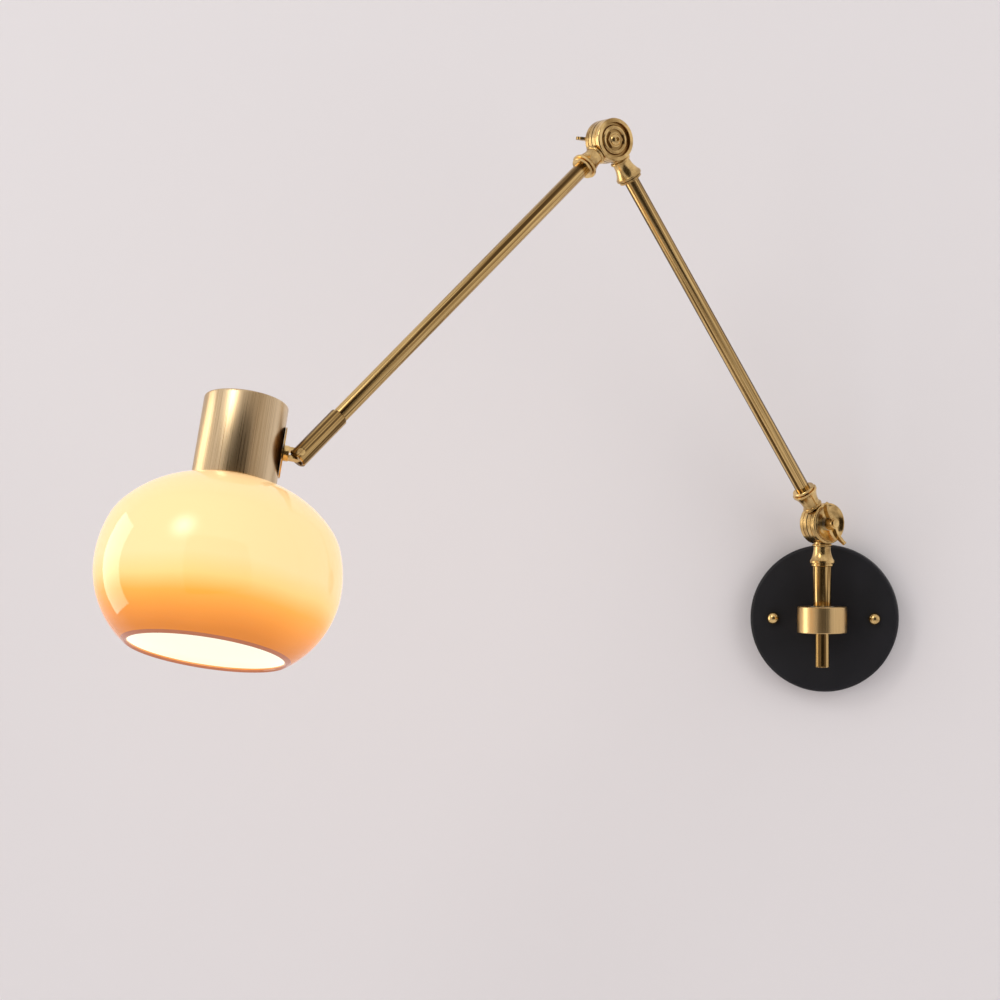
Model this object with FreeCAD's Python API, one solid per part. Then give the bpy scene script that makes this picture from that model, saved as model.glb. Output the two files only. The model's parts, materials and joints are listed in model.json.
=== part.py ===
import FreeCAD, Part
import math
import os

# Accordion wall lamp: two hinged arms on a swivelling stem, with a glass shade at the end.
# Millimetres. The wall is the plane Y = 0, the room lies towards -Y, and +Z is up.
# The origin is the centre of the canopy's back, where it meets the wall.

V = FreeCAD.Vector
UP = V(0, 0, 1)

# ---------------------------------------------------------------- driving dimensions

# clearances
FIT = 0.05                 # radial, between a shaft and its hole
SEAT = 0.1                 # between faces that turn over each other
GLASS_GAP = 0.3            # between glass and metal

# canopy and wall bracket
CANOPY_RADIUS = 60.0
CANOPY_DEPTH = 22.0
CANOPY_WALL = 1.5
CANOPY_EDGE = 3.0
BRACKET_THICK = 2.0
BRACKET_WIDTH = 22.0
BRACKET_LENGTH = 100.0
BRACKET_CENTRE_RADIUS = 17.0
CABLE_HOLE_RADIUS = 10.0
STUD_SPACING = 82.0
STUD_RADIUS = 2.0
SLOT_SPACING = 54.0
SLOT_LENGTH = 12.0
SLOT_WIDTH = 4.5
TAB_WIDTH = 26.0
TAB_REACH = 35.0
TERMINAL_LENGTH = 24.0
TERMINAL_WIDTH = 11.0
TERMINAL_HEIGHT = 10.0
TERMINAL_CENTRE_DOWN = 27.0
TERMINAL_WAY_RADIUS = 1.6
GROUND_SCREW_RADIUS = 2.0
GROUND_HEAD_RADIUS = 3.0
GROUND_HEAD_THICK = 2.4
GROUND_SCREW_OFFSET = 14.5
GROUND_SLOT = 0.8
GROUND_SLOT_DEEP = 1.0
DOME_NUT_RADIUS = 5.0
DOME_NUT_SKIRT = 1.4
DOME_NUT_BEVEL = 0.4
STUD_PAST_CANOPY = 3.8     # how far the stud screws into its nut
NIPPLE_RADIUS = 5.0
NIPPLE_BORE = 3.5
NIPPLE_INSIDE = 8.0        # how far the nipple stands into the canopy
NIPPLE_GRIP = 8.0          # how far it screws into the hub's boss
CANOPY_WASHER_RADIUS = 14.0
CANOPY_WASHER_THICK = 1.5
CANOPY_NUT_FLATS = 15.0
CANOPY_NUT_THICK = 3.5

# swivel hub
STEM_FROM_WALL = 45.2
HUB_RADIUS = 20.0
HUB_HEIGHT = 21.0
HUB_WALL = 2.5
HUB_TOP = 6.0
HUB_EDGE = 0.5
HUB_BASE_THICK = 5.5
BOSS_RADIUS = 10.0
BUSH_RADIUS = 8.0
BUSH_FLANGE_RADIUS = 9.5
BUSH_FLANGE_THICK = 1.0
SPINDLE_RADIUS = 5.8
SPINDLE_BELOW_HUB = 28.0
SPINDLE_EDGE = 1.2
SPINDLE_GRIP = 11.0        # how far the spindle screws up into the column
COLLAR_RADIUS = 9.0
COLLAR_THICK = 3.0
COLUMN_RADIUS_LOW = 7.15
COLUMN_RADIUS_HIGH = 7.75
LEAD_RADIUS = 2.5
LEAD_BORE = 3.2
LEAD_WINDOW = 5.0
LEAD_PAST_TUBE = 3.8       # how far a lead stands out of its tube

# knuckles, the same at the stem and at the elbow
PIVOT_HEIGHT = 77.7
KNUCKLE_RADIUS = 16.5
KNUCKLE_HALF = 9.0         # middle plane to outer face
KNUCKLE_SEAM = 1.0
RIM_THICK = 4.2
RIM_GROOVE_WIDE = 0.9
RIM_GROOVE_DEEP = 0.7
RIM_GROOVE_SLOPE = 0.2
RIM_ROUND = 1.3
DISH_EDGE = 1.6            # flat lip round the dish
DISH_DEEP = 2.8
DISH_MID_DEEP = 2.3
DISH_FLOOR_RADIUS = 8.0
CAP_LIP = 3.2              # flat lip round the ringed face
CAP_DEEP = 2.6
RING_OUTER = 10.9
RING_INNER = 8.0
RING_LOW = 0.8             # how far the raised ring lies below the lip
RING_SLOPE = 0.6
CHAMBER_INNER = 5.2
CHAMBER_OUTER = 11.5
CHAMBER_DEEP = 3.7
NECK_LENGTH = 34.5         # pivot to the neck's end
NECK_ROOT = 3.0            # how far the neck reaches into its disc
NECK_WAIST = 7.0
NECK_BEAD = 8.1
NECK_BEAD_WIDE = 2.2
NECK_BELL_MID = 7.5
NECK_COLLAR = 10.2
NECK_COLLAR_THICK = 1.6
NECK_GROOVE = 8.2
NECK_GROOVE_WIDE = 0.9
NECK_RING = 9.0
NECK_RING_THICK = 1.7
NECK_BEVEL = 0.3
SOCKET_DEPTH = 12.0
FOLD_CLEARANCE = 0.5       # a knuckle's disc to the other half's neck
BOLT_RADIUS = 3.0
BOLT_HEAD_RADIUS = 4.5
BOLT_HEAD_THICK = 2.6
BOLT_HEAD_SKIRT = 0.6
BOLT_HEAD_ROUND_RADIUS = 3.4
BOLT_HEAD_ROUND_DOWN = 0.8
BOLT_SOCKET_DEEP = 1.6
BOLT_HEX_FLATS = 12.0
BOLT_HEX_THICK = 1.7
FRICTION_RADIUS = 15.9
FRICTION_THICK = 0.9
NUT_WASHER_RADIUS = 5.6
NUT_WASHER_THICK = 2.8     # fills the dish, so that the nut clears the rim
WING_NUT_HUB = 5.4
WING_NUT_HUB_TOP = 4.2
WING_NUT_HEIGHT = 6.6
WING_NUT_SPAN = 39.0
WING_THICK = 2.2
WING_TIP_RISE = 6.8        # wing tip above the nut's foot
WING_TIP_HALF = 1.6        # half the blade's depth at its tip
WING_TIP_ROUND = 1.3
WING_ROOT_LOW = 0.8        # blade's lower edge at the hub, above the nut's foot
WING_ROOT_HIGH = 6.0
WING_ROOT_INSIDE = 1.0     # how far the blade reaches into the hub
WING_LOW_BEND = 12.9       # bolt's axis to the bends of the blade's edges
WING_HIGH_BEND = 10.1
WING_HIGH_BEND_RISE = 5.2
WING_RIM_CLEAR = 1.3       # blade's lower edge over the knuckle's rim
BOLT_PAST_NUT = 1.0

# arms
ARM_REACH = 360.0          # pivot to pivot
TUBE_RADIUS = 5.75
TUBE_WALL = 1.5
LEAD_BUSH_LENGTH = 6.0
ARM_PLANE = 44.2           # the arms' plane, from the wall's direction, seen from above
ARM_1_LEAN = 36.1          # from straight up
ARM_2_DROP = 47.7          # from straight down
LOWER_NUT_TURN = 150.0     # where each wing nut came to rest on its bolt
ELBOW_NUT_TURN = 262.0

# turning sleeve and head knuckle
SLEEVE_RADIUS = 6.9
SLEEVE_TOP = 42.0          # tilt pin to the sleeve's upper end
SLEEVE_PAST_PIN = 4.5
SLEEVE_BORE_END = 16.0     # tilt pin to the bottom of the sleeve's bore
SLEEVE_BEVEL = 0.8
FORK_SLOT = 5.0
FORK_SLOT_ABOVE = 9.0
TONGUE_THICK = 4.8
TONGUE_RADIUS = 4.4
TILT_PIN_RADIUS = 1.75
TILT_HEAD_RADIUS = 2.8
TILT_HEAD_THICK = 1.4
TILT_HEAD_SUNK = 0.4
GRUB_RADIUS = 1.5
TILT_SLOT = 0.7
TILT_SLOT_DEEP = 0.7
GRUB_ABOVE_PIN = 30.0
TUBE_GROOVE_DEEP = 0.9
TUBE_GROOVE_WIDE = 3.4
HEAD_TURN = 33.6           # tilt pin from the knuckle axis, about arm 2
HEAD_BEND = 57.4           # stud from arm 2's direction
HEAD_ROLL = 9.9            # cup about its stud
HEAD_COLLAR_RADIUS = 5.6
HEAD_COLLAR_START = 8.6
HEAD_STUD_RADIUS = 4.0
HEAD_STUD_END = 20.3       # tilt pin to the stud's tip
HEAD_STUD_BORE = 1.9
HEAD_WINDOW_START = 5.2    # tilt pin to the lead's window in the tongue
HEAD_NUT_FLATS = 12.0
HEAD_NUT_THICK = 4.0
SIDE_PLATE_RADIUS = 18.0
SIDE_PLATE_THICK = 1.2

# cup and lampholder
CUP_FROM_PIN = 43.0        # tilt pin to the cup's axis
CUP_RADIUS = 29.75
CUP_HEIGHT = 59.5
CUP_WALL = 1.2
CUP_EDGE = 1.6
STUD_ABOVE_EDGE = 27.0     # stud above the cup's lower edge
TOP_NUT_FLATS = 11.0
TOP_NUT_THICK = 3.6
TOP_NUT_CHAMFER = 0.5
TOP_WASHER_RADIUS = 7.2
TOP_WASHER_THICK = 0.8
TOP_NIPPLE_DOWN = 13.0
HOLDER_RADIUS = 19.0
HOLDER_BELOW_EDGE = 8.0
HOLDER_CAP_HEIGHT = 19.0
HOLDER_CAP_SHOULDER = 8.5
HOLDER_CAP_TOP_RADIUS = 11.0
HOLDER_CAP_WALL = 2.2
HOLDER_CAVITY_RADIUS = 14.2
HOLDER_CAVITY_TOP = 20.0   # above the cup's lower edge
HOLDER_FLOOR = 4.4
SHELL_WALL = 0.5
SHELL_BOTTOM = 1.0
CONTACT_RADIUS = 4.0
CONTACT_HEIGHT = 1.2
CLAMP_RING_THICK = 2.5
SEAT_RING_RADIUS = 25.0
CLAMP_RING_RADIUS = 23.5

# glass shade
GLASS_WALL = 3.0
SHADE_RADIUS = 85.4
SHADE_EQUATOR_BELOW = 66.1  # equator below the cup's lower edge
SHADE_BODY_ARC = 80.0
SHADE_BODY_TURN = 20.0
SHADE_SHOULDER_ARC = 39.0
SHADE_SHOULDER_TURN = 40.0
SHADE_CROWN_ARC = 79.5
SHADE_LOWER_ARC = 67.0
SHADE_MOUTH_RADIUS = 56.3
SHADE_HOLE_GAP = 1.0        # holder to the hole in the crown

# bulb
BULB_CAP_RADIUS = 13.2
BULB_CAP_BOTTOM = 6.0       # below the cup's lower edge
BULB_CAP_SLOPE = 2.0
BULB_SHOULDER_RADIUS = 10.2
BULB_TIP_RADIUS = 4.5
BULB_TIP_END_RADIUS = 3.5
BULB_TIP_HEIGHT = 2.0
BULB_GLOBE_RADIUS = 29.0
BULB_END_BELOW = 88.0
BULB_NECK_RADIUS = 12.8
BULB_NECK_LENGTH = 6.0
BULB_FLARE_TURN = 25.0
BULB_FLARE_DEEP = 1.5
BULB_GLASS_WALL = 1.0

# ---------------------------------------------------------------- derived places


def turned(vector, axis, degrees):
    return FreeCAD.Rotation(axis, degrees).multVec(vector)


TOWARDS_WALL = turned(V(1, 0, 0), UP, ARM_PLANE)
KNUCKLE_AXIS = TOWARDS_WALL.cross(UP)
ARM_1_WAY = turned(UP, KNUCKLE_AXIS, ARM_1_LEAN)
ARM_2_WAY = turned(-UP, KNUCKLE_AXIS, -ARM_2_DROP)
STEM_FOOT = V(0, -STEM_FROM_WALL, 0)
LOWER_PIVOT = STEM_FOOT + UP * PIVOT_HEIGHT
ELBOW_PIVOT = LOWER_PIVOT + ARM_1_WAY * ARM_REACH
HEAD_PIVOT = ELBOW_PIVOT + ARM_2_WAY * ARM_REACH
PIN_WAY = turned(KNUCKLE_AXIS, ARM_2_WAY, HEAD_TURN)
STUD_WAY = turned(ARM_2_WAY, PIN_WAY, -HEAD_BEND)
CUP_UP = turned(STUD_WAY.cross(PIN_WAY), STUD_WAY, -HEAD_ROLL)
CUP_FOOT = HEAD_PIVOT + STUD_WAY * CUP_FROM_PIN - CUP_UP * STUD_ABOVE_EDGE

HUB_HALF = HUB_HEIGHT / 2
COLUMN_BOTTOM = HUB_HALF + SEAT
CHAMBER_TOP = HUB_HALF - HUB_TOP
CHAMBER_FLOOR = HUB_BASE_THICK - HUB_HALF
SEAM_HALF = KNUCKLE_SEAM / 2
DISH_FLOOR = KNUCKLE_HALF - DISH_DEEP
CAP_FLOOR = KNUCKLE_HALF - CAP_DEEP
SOCKET_RADIUS = TUBE_RADIUS + FIT
SOCKET_FLOOR = NECK_LENGTH - SOCKET_DEPTH
NUT_FOOT = DISH_FLOOR + NUT_WASHER_THICK + SEAT
BOLT_TIP = NUT_FOOT + WING_NUT_HEIGHT + BOLT_PAST_NUT
LEAD_END = SOCKET_FLOOR + SEAT - LEAD_PAST_TUBE
CUP_SURFACE = CUP_FROM_PIN - CUP_RADIUS
PLATE_BACK = CUP_SURFACE - SEAT
PLATE_FRONT = PLATE_BACK - SIDE_PLATE_THICK
HOLE_IN_CROWN = HOLDER_RADIUS + SHADE_HOLE_GAP

# ---------------------------------------------------------------- making and placing


def outline(start, steps):
    """Closed wire of (radius, height) points; a step of two points is an arc via the first."""
    here = V(start[0], 0, start[1])
    first = here
    edges = []
    for step in steps:
        if isinstance(step[0], tuple):
            via, end = (V(r, 0, h) for r, h in step)
            edges.append(Part.Arc(here, via, end).toShape())
        else:
            end = V(step[0], 0, step[1])
            edges.append(Part.LineSegment(here, end).toShape())
        here = end
    edges.append(Part.LineSegment(here, first).toShape())
    return Part.Wire(edges)


def lathed(start, *steps):
    """Solid of revolution about the local Z axis."""
    return Part.Face(outline(start, steps)).revolve(V(0, 0, 0), UP, 360)


def rod(radius, low, high):
    return Part.makeCylinder(radius, high - low, V(0, 0, low))


def ring(outer, inner, low, high):
    return rod(outer, low, high).cut(rod(inner, low - 1, high + 1))


def hexagon(flats, low, high):
    corner = flats / math.sqrt(3)
    points = [turned(V(corner, 0, low), UP, 60 * side) for side in range(7)]
    return Part.Face(Part.makePolygon(points)).extrude(V(0, 0, high - low))


def box(x0, x1, y0, y1, z0, z1):
    return Part.makeBox(x1 - x0, y1 - y0, z1 - z0, V(x0, y0, z0))


def slot(centre_x, length, width, low, high):
    """Round-ended slot along X, as a cutter."""
    reach = (length - width) / 2
    ends = [rod(width / 2, low, high).translated(V(centre_x + side * reach, 0, 0)) for side in (-1, 1)]
    middle = box(centre_x - reach, centre_x + reach, -width / 2, width / 2, low, high)
    return middle.fuse(ends)


def stood(shape, at, z_way, x_way):
    """The shape, moved so that its own Z and X axes point along z_way and x_way from at."""
    turn = FreeCAD.Rotation(x_way, z_way.cross(x_way), z_way, "ZXY")
    return shape.transformed(FreeCAD.Placement(at, turn).toMatrix())


def laid_along_x(shape):
    return shape.rotated(V(0, 0, 0), V(0, 1, 0), 90)


def from_wall(shape):
    """Local Z runs from the wall into the room, and local Y runs up."""
    return stood(shape, V(0, 0, 0), V(0, -1, 0), V(1, 0, 0))


def save(node, *shapes):
    """Writes one node, as one solid or as a group of separate solids."""
    solids = [solid for shape in shapes for solid in shape.Solids]
    whole = solids[0] if len(solids) == 1 else Part.makeCompound(solids)
    whole.exportStep(os.path.join("parts", node + ".step"))
    volume = sum(solid.Volume for solid in solids)
    print(f"{node:24s} solids {len(solids)}  volume {volume / 1000:8.2f} cm3  valid {whole.isValid()}")


# ---------------------------------------------------------------- wall bracket and canopy


def wall_bracket():
    end = BRACKET_LENGTH / 2
    side_edge = BRACKET_WIDTH / 2
    strap = box(-end, end, -side_edge, side_edge, 0, BRACKET_THICK)
    tab = box(-TAB_WIDTH / 2, TAB_WIDTH / 2, -TAB_REACH, 0, 0, BRACKET_THICK)
    plate = strap.fuse([tab, rod(BRACKET_CENTRE_RADIUS, 0, BRACKET_THICK)]).removeSplitter()
    cuts = [rod(CABLE_HOLE_RADIUS, -1, BRACKET_THICK + 1)]
    for side in (-1, 1):
        stud_hole = rod(STUD_RADIUS + FIT, -1, BRACKET_THICK + 1)
        cuts.append(stud_hole.translated(V(side * STUD_SPACING / 2, 0, 0)))
        cuts.append(slot(side * SLOT_SPACING / 2, SLOT_LENGTH, SLOT_WIDTH, -1, BRACKET_THICK + 1))
    ground_hole = rod(GROUND_SCREW_RADIUS + FIT, -1, BRACKET_THICK + 1)
    cuts.append(ground_hole.translated(V(0, -GROUND_SCREW_OFFSET, 0)))
    return plate.cut(cuts)


def bracket_studs():
    stud = rod(STUD_RADIUS, 0, CANOPY_DEPTH + STUD_PAST_CANOPY)
    return [stud.translated(V(side * STUD_SPACING / 2, 0, 0)) for side in (-1, 1)]


def dome_nuts():
    foot = CANOPY_DEPTH
    radius = DOME_NUT_RADIUS
    bevel = DOME_NUT_BEVEL
    skirt = foot + DOME_NUT_SKIRT
    bend = radius * math.sqrt(0.5)
    nut = lathed((0, foot), (radius - bevel, foot), (radius, foot + bevel), (radius, skirt),
                 ((bend, skirt + bend), (0, skirt + radius)))
    nut = nut.cut(rod(STUD_RADIUS + FIT, foot - 1, foot + STUD_PAST_CANOPY + GLASS_GAP))
    return [nut.translated(V(side * STUD_SPACING / 2, 0, 0)) for side in (-1, 1)]


def canopy():
    outer = CANOPY_RADIUS
    inner = outer - CANOPY_WALL
    edge = CANOPY_EDGE
    inner_edge = edge - CANOPY_WALL
    bend = math.sqrt(0.5)
    top = CANOPY_DEPTH
    floor = top - CANOPY_WALL
    centre = (outer - edge, top - edge)
    outer_via = (centre[0] + edge * bend, centre[1] + edge * bend)
    inner_via = (centre[0] + inner_edge * bend, centre[1] + inner_edge * bend)
    shell = lathed((0, floor), (centre[0], floor), (inner_via, (inner, centre[1])), (inner, 0),
                   (outer, 0), (outer, centre[1]), (outer_via, (centre[0], top)), (0, top))
    cuts = [rod(NIPPLE_RADIUS + FIT, 0, top + 1)]
    for side in (-1, 1):
        cuts.append(rod(STUD_RADIUS + 2 * FIT, 0, top + 1).translated(V(side * STUD_SPACING / 2, 0, 0)))
    return shell.cut(cuts)


def mounting_nipple():
    low = CANOPY_DEPTH - CANOPY_WALL - NIPPLE_INSIDE
    return ring(NIPPLE_RADIUS, NIPPLE_BORE, low, CANOPY_DEPTH + NIPPLE_GRIP)


def canopy_washer():
    high = CANOPY_DEPTH - CANOPY_WALL
    return ring(CANOPY_WASHER_RADIUS, NIPPLE_RADIUS + FIT, high - CANOPY_WASHER_THICK, high)


def canopy_nut():
    high = CANOPY_DEPTH - CANOPY_WALL - CANOPY_WASHER_THICK
    low = high - CANOPY_NUT_THICK
    return hexagon(CANOPY_NUT_FLATS, low, high).cut(rod(NIPPLE_RADIUS + FIT, low - 1, high + 1))


def terminal_block():
    """Two-way block with a wire hole along each way and a screw well over it."""
    half = TERMINAL_LENGTH / 2
    edge = -TERMINAL_CENTRE_DOWN - TERMINAL_WIDTH / 2
    low = BRACKET_THICK
    high = low + TERMINAL_HEIGHT
    middle = (low + high) / 2
    block = box(-half, half, edge, edge + TERMINAL_WIDTH, low, high)
    cuts = []
    for across in (-half / 2, half / 2):
        start = V(across, edge - 1, middle)
        cuts.append(Part.makeCylinder(TERMINAL_WAY_RADIUS, TERMINAL_WIDTH + 2, start, V(0, 1, 0)))
        well = rod(TERMINAL_WAY_RADIUS, middle, high + 1)
        cuts.append(well.translated(V(across, -TERMINAL_CENTRE_DOWN, 0)))
    return block.cut(cuts)


def ground_screw():
    head = rod(GROUND_HEAD_RADIUS, BRACKET_THICK, BRACKET_THICK + GROUND_HEAD_THICK)
    shank = rod(GROUND_SCREW_RADIUS, 0, BRACKET_THICK)
    top = BRACKET_THICK + GROUND_HEAD_THICK
    driver = box(-GROUND_HEAD_RADIUS, GROUND_HEAD_RADIUS, -GROUND_SLOT / 2, GROUND_SLOT / 2,
                 top - GROUND_SLOT_DEEP, top + 1)
    return head.fuse(shank).cut(driver).translated(V(0, -GROUND_SCREW_OFFSET, 0))


# ---------------------------------------------------------------- swivel hub and stem


def hub_shell():
    edge = HUB_EDGE
    drum = lathed((0, -HUB_HALF), (HUB_RADIUS - edge, -HUB_HALF), (HUB_RADIUS, edge - HUB_HALF),
                  (HUB_RADIUS, HUB_HALF - edge), (HUB_RADIUS - edge, HUB_HALF), (0, HUB_HALF))
    boss = Part.makeCylinder(BOSS_RADIUS, STEM_FROM_WALL - CANOPY_DEPTH, V(0, 0, 0), V(0, 1, 0))
    cuts = [rod(HUB_RADIUS - HUB_WALL, -HUB_HALF - 1, CHAMBER_TOP),
            rod(BUSH_RADIUS + FIT, 0, HUB_HALF + 1),
            rod(BUSH_FLANGE_RADIUS + FIT, HUB_HALF - BUSH_FLANGE_THICK, HUB_HALF + 1),
            Part.makeCylinder(NIPPLE_RADIUS + FIT, STEM_FROM_WALL, V(0, 0, 0), V(0, 1, 0))]
    return drum.fuse(boss).cut(cuts)


def hub_base():
    radius = HUB_RADIUS - HUB_WALL - FIT
    disc = rod(radius, -HUB_HALF, CHAMBER_FLOOR)
    cuts = [rod(BUSH_RADIUS + FIT, -HUB_HALF - 1, CHAMBER_FLOOR + 1),
            rod(BUSH_FLANGE_RADIUS + FIT, -HUB_HALF - 1, BUSH_FLANGE_THICK - HUB_HALF)]
    return disc.cut(cuts)


def hub_bushes():
    flange = BUSH_FLANGE_THICK
    bore = SPINDLE_RADIUS + FIT
    upper_flange = rod(BUSH_FLANGE_RADIUS, HUB_HALF - flange, HUB_HALF)
    lower_flange = rod(BUSH_FLANGE_RADIUS, -HUB_HALF, flange - HUB_HALF)
    upper = rod(BUSH_RADIUS, CHAMBER_TOP, HUB_HALF).fuse(upper_flange)
    lower = rod(BUSH_RADIUS, -HUB_HALF, CHAMBER_FLOOR).fuse(lower_flange)
    return [bush.cut(rod(bore, -HUB_HEIGHT, HUB_HEIGHT)) for bush in (upper, lower)]


def swivel_spindle():
    low = -HUB_HALF - SPINDLE_BELOW_HUB
    edge = SPINDLE_EDGE
    bend = math.sqrt(0.5)
    via = (SPINDLE_RADIUS - edge + edge * bend, low + edge - edge * bend)
    bar = lathed((0, low), (SPINDLE_RADIUS - edge, low), (via, (SPINDLE_RADIUS, low + edge)),
                 (SPINDLE_RADIUS, COLUMN_BOTTOM + SPINDLE_GRIP), (0, COLUMN_BOTTOM + SPINDLE_GRIP))
    half = LEAD_WINDOW / 2
    window_top = CHAMBER_TOP - COLLAR_THICK - 2 * SEAT - GLASS_GAP
    window = box(-half, half, 0, HUB_RADIUS, window_top - LEAD_WINDOW, window_top)
    return bar.cut([rod(LEAD_BORE, window_top - LEAD_WINDOW, COLUMN_BOTTOM + SPINDLE_GRIP + 1), window])


def spindle_collar():
    high = CHAMBER_TOP - 2 * SEAT
    return ring(COLLAR_RADIUS, SPINDLE_RADIUS + FIT, high - COLLAR_THICK, high)


def stem_column():
    """Turned column: the spindle screws in below, and its spigot enters the knuckle's neck."""
    shoulder = PIVOT_HEIGHT - NECK_LENGTH
    top = shoulder + SOCKET_DEPTH - SEAT
    body = lathed((0, COLUMN_BOTTOM), (COLUMN_RADIUS_LOW, COLUMN_BOTTOM), (COLUMN_RADIUS_HIGH, shoulder),
                  (TUBE_RADIUS, shoulder), (TUBE_RADIUS, top), (0, top))
    spindle_hole = rod(SPINDLE_RADIUS + FIT, 0, COLUMN_BOTTOM + SPINDLE_GRIP + FIT)
    return body.cut([spindle_hole, rod(LEAD_BORE, 0, top + 1)])


def stem_lead():
    low = CHAMBER_TOP - COLLAR_THICK - GLASS_GAP - LEAD_WINDOW
    return rod(LEAD_RADIUS, low, PIVOT_HEIGHT - LEAD_END)


# ---------------------------------------------------------------- knuckles


def rim_steps():
    """The cylinder wall of a half knuckle, with the groove that sets its rim apart."""
    radius = KNUCKLE_RADIUS
    groove = KNUCKLE_HALF - RIM_THICK
    low = groove - RIM_GROOVE_WIDE
    deep = radius - RIM_GROOVE_DEEP
    slope = RIM_GROOVE_SLOPE
    bend = RIM_ROUND * (1 - math.sqrt(0.5))
    rim_round = ((radius - bend, KNUCKLE_HALF - bend), (radius - RIM_ROUND, KNUCKLE_HALF))
    return [(radius, SEAM_HALF), (radius, low), (deep, low + slope), (deep, groove - slope),
            (radius, groove), (radius, KNUCKLE_HALF - RIM_ROUND), rim_round]


def dish_face():
    """Shallow dish that the wing nut sits in."""
    edge = KNUCKLE_RADIUS - DISH_EDGE
    middle = ((edge + DISH_FLOOR_RADIUS) / 2, KNUCKLE_HALF - DISH_MID_DEEP)
    return [(edge, KNUCKLE_HALF), (middle, (DISH_FLOOR_RADIUS, DISH_FLOOR)), (0, DISH_FLOOR)]


def ringed_face():
    """Lip, trough and raised ring round the bolt head."""
    lip = KNUCKLE_RADIUS - CAP_LIP
    crest = KNUCKLE_HALF - RING_LOW
    slope = RING_SLOPE
    middle = (RING_OUTER + RING_INNER) / 2
    return [(lip, KNUCKLE_HALF), (lip - slope, CAP_FLOOR), (RING_OUTER + slope, CAP_FLOOR),
            (RING_OUTER, crest - slope), ((middle, crest), (RING_INNER, crest - slope)),
            (RING_INNER, CAP_FLOOR), (0, CAP_FLOOR)]


def neck():
    """Baluster neck along local Z: bead, waist, bell, collar, groove and end ring."""
    bead_low = KNUCKLE_RADIUS
    bead_high = bead_low + NECK_BEAD_WIDE
    ring_low = NECK_LENGTH - NECK_RING_THICK
    collar_high = ring_low - NECK_GROOVE_WIDE
    collar_low = collar_high - NECK_COLLAR_THICK
    bell_mid = (bead_high + collar_low) / 2
    bevel = NECK_BEVEL
    root = bead_low - NECK_ROOT
    return lathed((0, root), (NECK_WAIST, root), (NECK_WAIST, bead_low),
                  ((NECK_BEAD, (bead_low + bead_high) / 2), (NECK_WAIST, bead_high)),
                  ((NECK_BELL_MID, bell_mid), (NECK_COLLAR - bevel, collar_low - bevel)),
                  (NECK_COLLAR, collar_low), (NECK_COLLAR, collar_high), (NECK_GROOVE, collar_high + bevel),
                  (NECK_GROOVE, ring_low - bevel), (NECK_RING, ring_low), (NECK_RING, NECK_LENGTH - bevel),
                  (NECK_RING - bevel, NECK_LENGTH), (0, NECK_LENGTH))


def half_knuckle(face):
    """Half of a knuckle: local X is the bolt's axis towards its own face, local Z runs up its neck."""
    disc = laid_along_x(lathed((0, SEAM_HALF), *rim_steps(), *face))
    reach = 2 * KNUCKLE_HALF
    other_half = laid_along_x(rod(KNUCKLE_RADIUS + FOLD_CLEARANCE, -reach, SEAM_HALF))
    chamber = laid_along_x(ring(CHAMBER_OUTER, CHAMBER_INNER, 0, SEAM_HALF + CHAMBER_DEEP))
    cuts = [chamber, laid_along_x(rod(BOLT_RADIUS + FIT, -reach, reach)),
            rod(LEAD_BORE, CHAMBER_INNER + BOLT_RADIUS, NECK_LENGTH + 1),
            rod(SOCKET_RADIUS, SOCKET_FLOOR, NECK_LENGTH + 1)]
    return neck().cut(other_half).fuse(disc).cut(cuts).removeSplitter()


def pivot_bolt():
    """Domed head in the ringed face, shank through both halves to the wing nut."""
    seat = CAP_FLOOR + BOLT_HEX_THICK
    crown = seat + BOLT_HEAD_THICK
    via = (BOLT_HEAD_ROUND_RADIUS, crown - BOLT_HEAD_ROUND_DOWN)
    bolt = lathed((0, -BOLT_TIP), (BOLT_RADIUS, -BOLT_TIP), (BOLT_RADIUS, seat), (BOLT_HEAD_RADIUS, seat),
                  (BOLT_HEAD_RADIUS, seat + BOLT_HEAD_SKIRT), (via, (0, crown)))
    socket = hexagon(BOLT_RADIUS, crown - BOLT_SOCKET_DEEP, crown + 1)
    return bolt.cut(socket)


def bolt_hex():
    """Thin hexagon nut that locks the bolt in the ringed half."""
    low = CAP_FLOOR
    high = low + BOLT_HEX_THICK
    return hexagon(BOLT_HEX_FLATS, low, high).cut(rod(BOLT_RADIUS + FIT, low - 1, high + 1))


def friction_washer():
    return ring(FRICTION_RADIUS, CHAMBER_OUTER + FIT, -FRICTION_THICK / 2, FRICTION_THICK / 2)


def nut_washer():
    high = -DISH_FLOOR - SEAT / 2
    return ring(NUT_WASHER_RADIUS, BOLT_RADIUS + FIT, high - NUT_WASHER_THICK, high)


def wing_nut():
    """Nut with two wings that rise outwards; its foot is at local Z = 0 and its wings lie along X."""
    hub = lathed((0, 0), (WING_NUT_HUB, 0), (WING_NUT_HUB_TOP, WING_NUT_HEIGHT), (0, WING_NUT_HEIGHT))
    tip = WING_NUT_SPAN / 2
    root = WING_NUT_HUB_TOP - WING_ROOT_INSIDE
    edge = tip - WING_TIP_ROUND
    low_bend = (WING_LOW_BEND, KNUCKLE_HALF - NUT_FOOT + WING_RIM_CLEAR)
    high_bend = (WING_HIGH_BEND, WING_HIGH_BEND_RISE)
    blade = Part.Face(outline((root, WING_ROOT_LOW), [
        (low_bend, (edge, WING_TIP_RISE - WING_TIP_HALF)),
        ((tip, WING_TIP_RISE), (edge, WING_TIP_RISE + WING_TIP_HALF)),
        (high_bend, (root, WING_ROOT_HIGH))]))
    wing = blade.extrude(V(0, WING_THICK, 0)).translated(V(0, -WING_THICK / 2, 0))
    other = wing.rotated(V(0, 0, 0), UP, 180)
    bore = rod(BOLT_RADIUS + FIT, -1, WING_NUT_HEIGHT + 2)
    return hub.fuse([wing, other]).cut(bore).removeSplitter()


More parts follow.
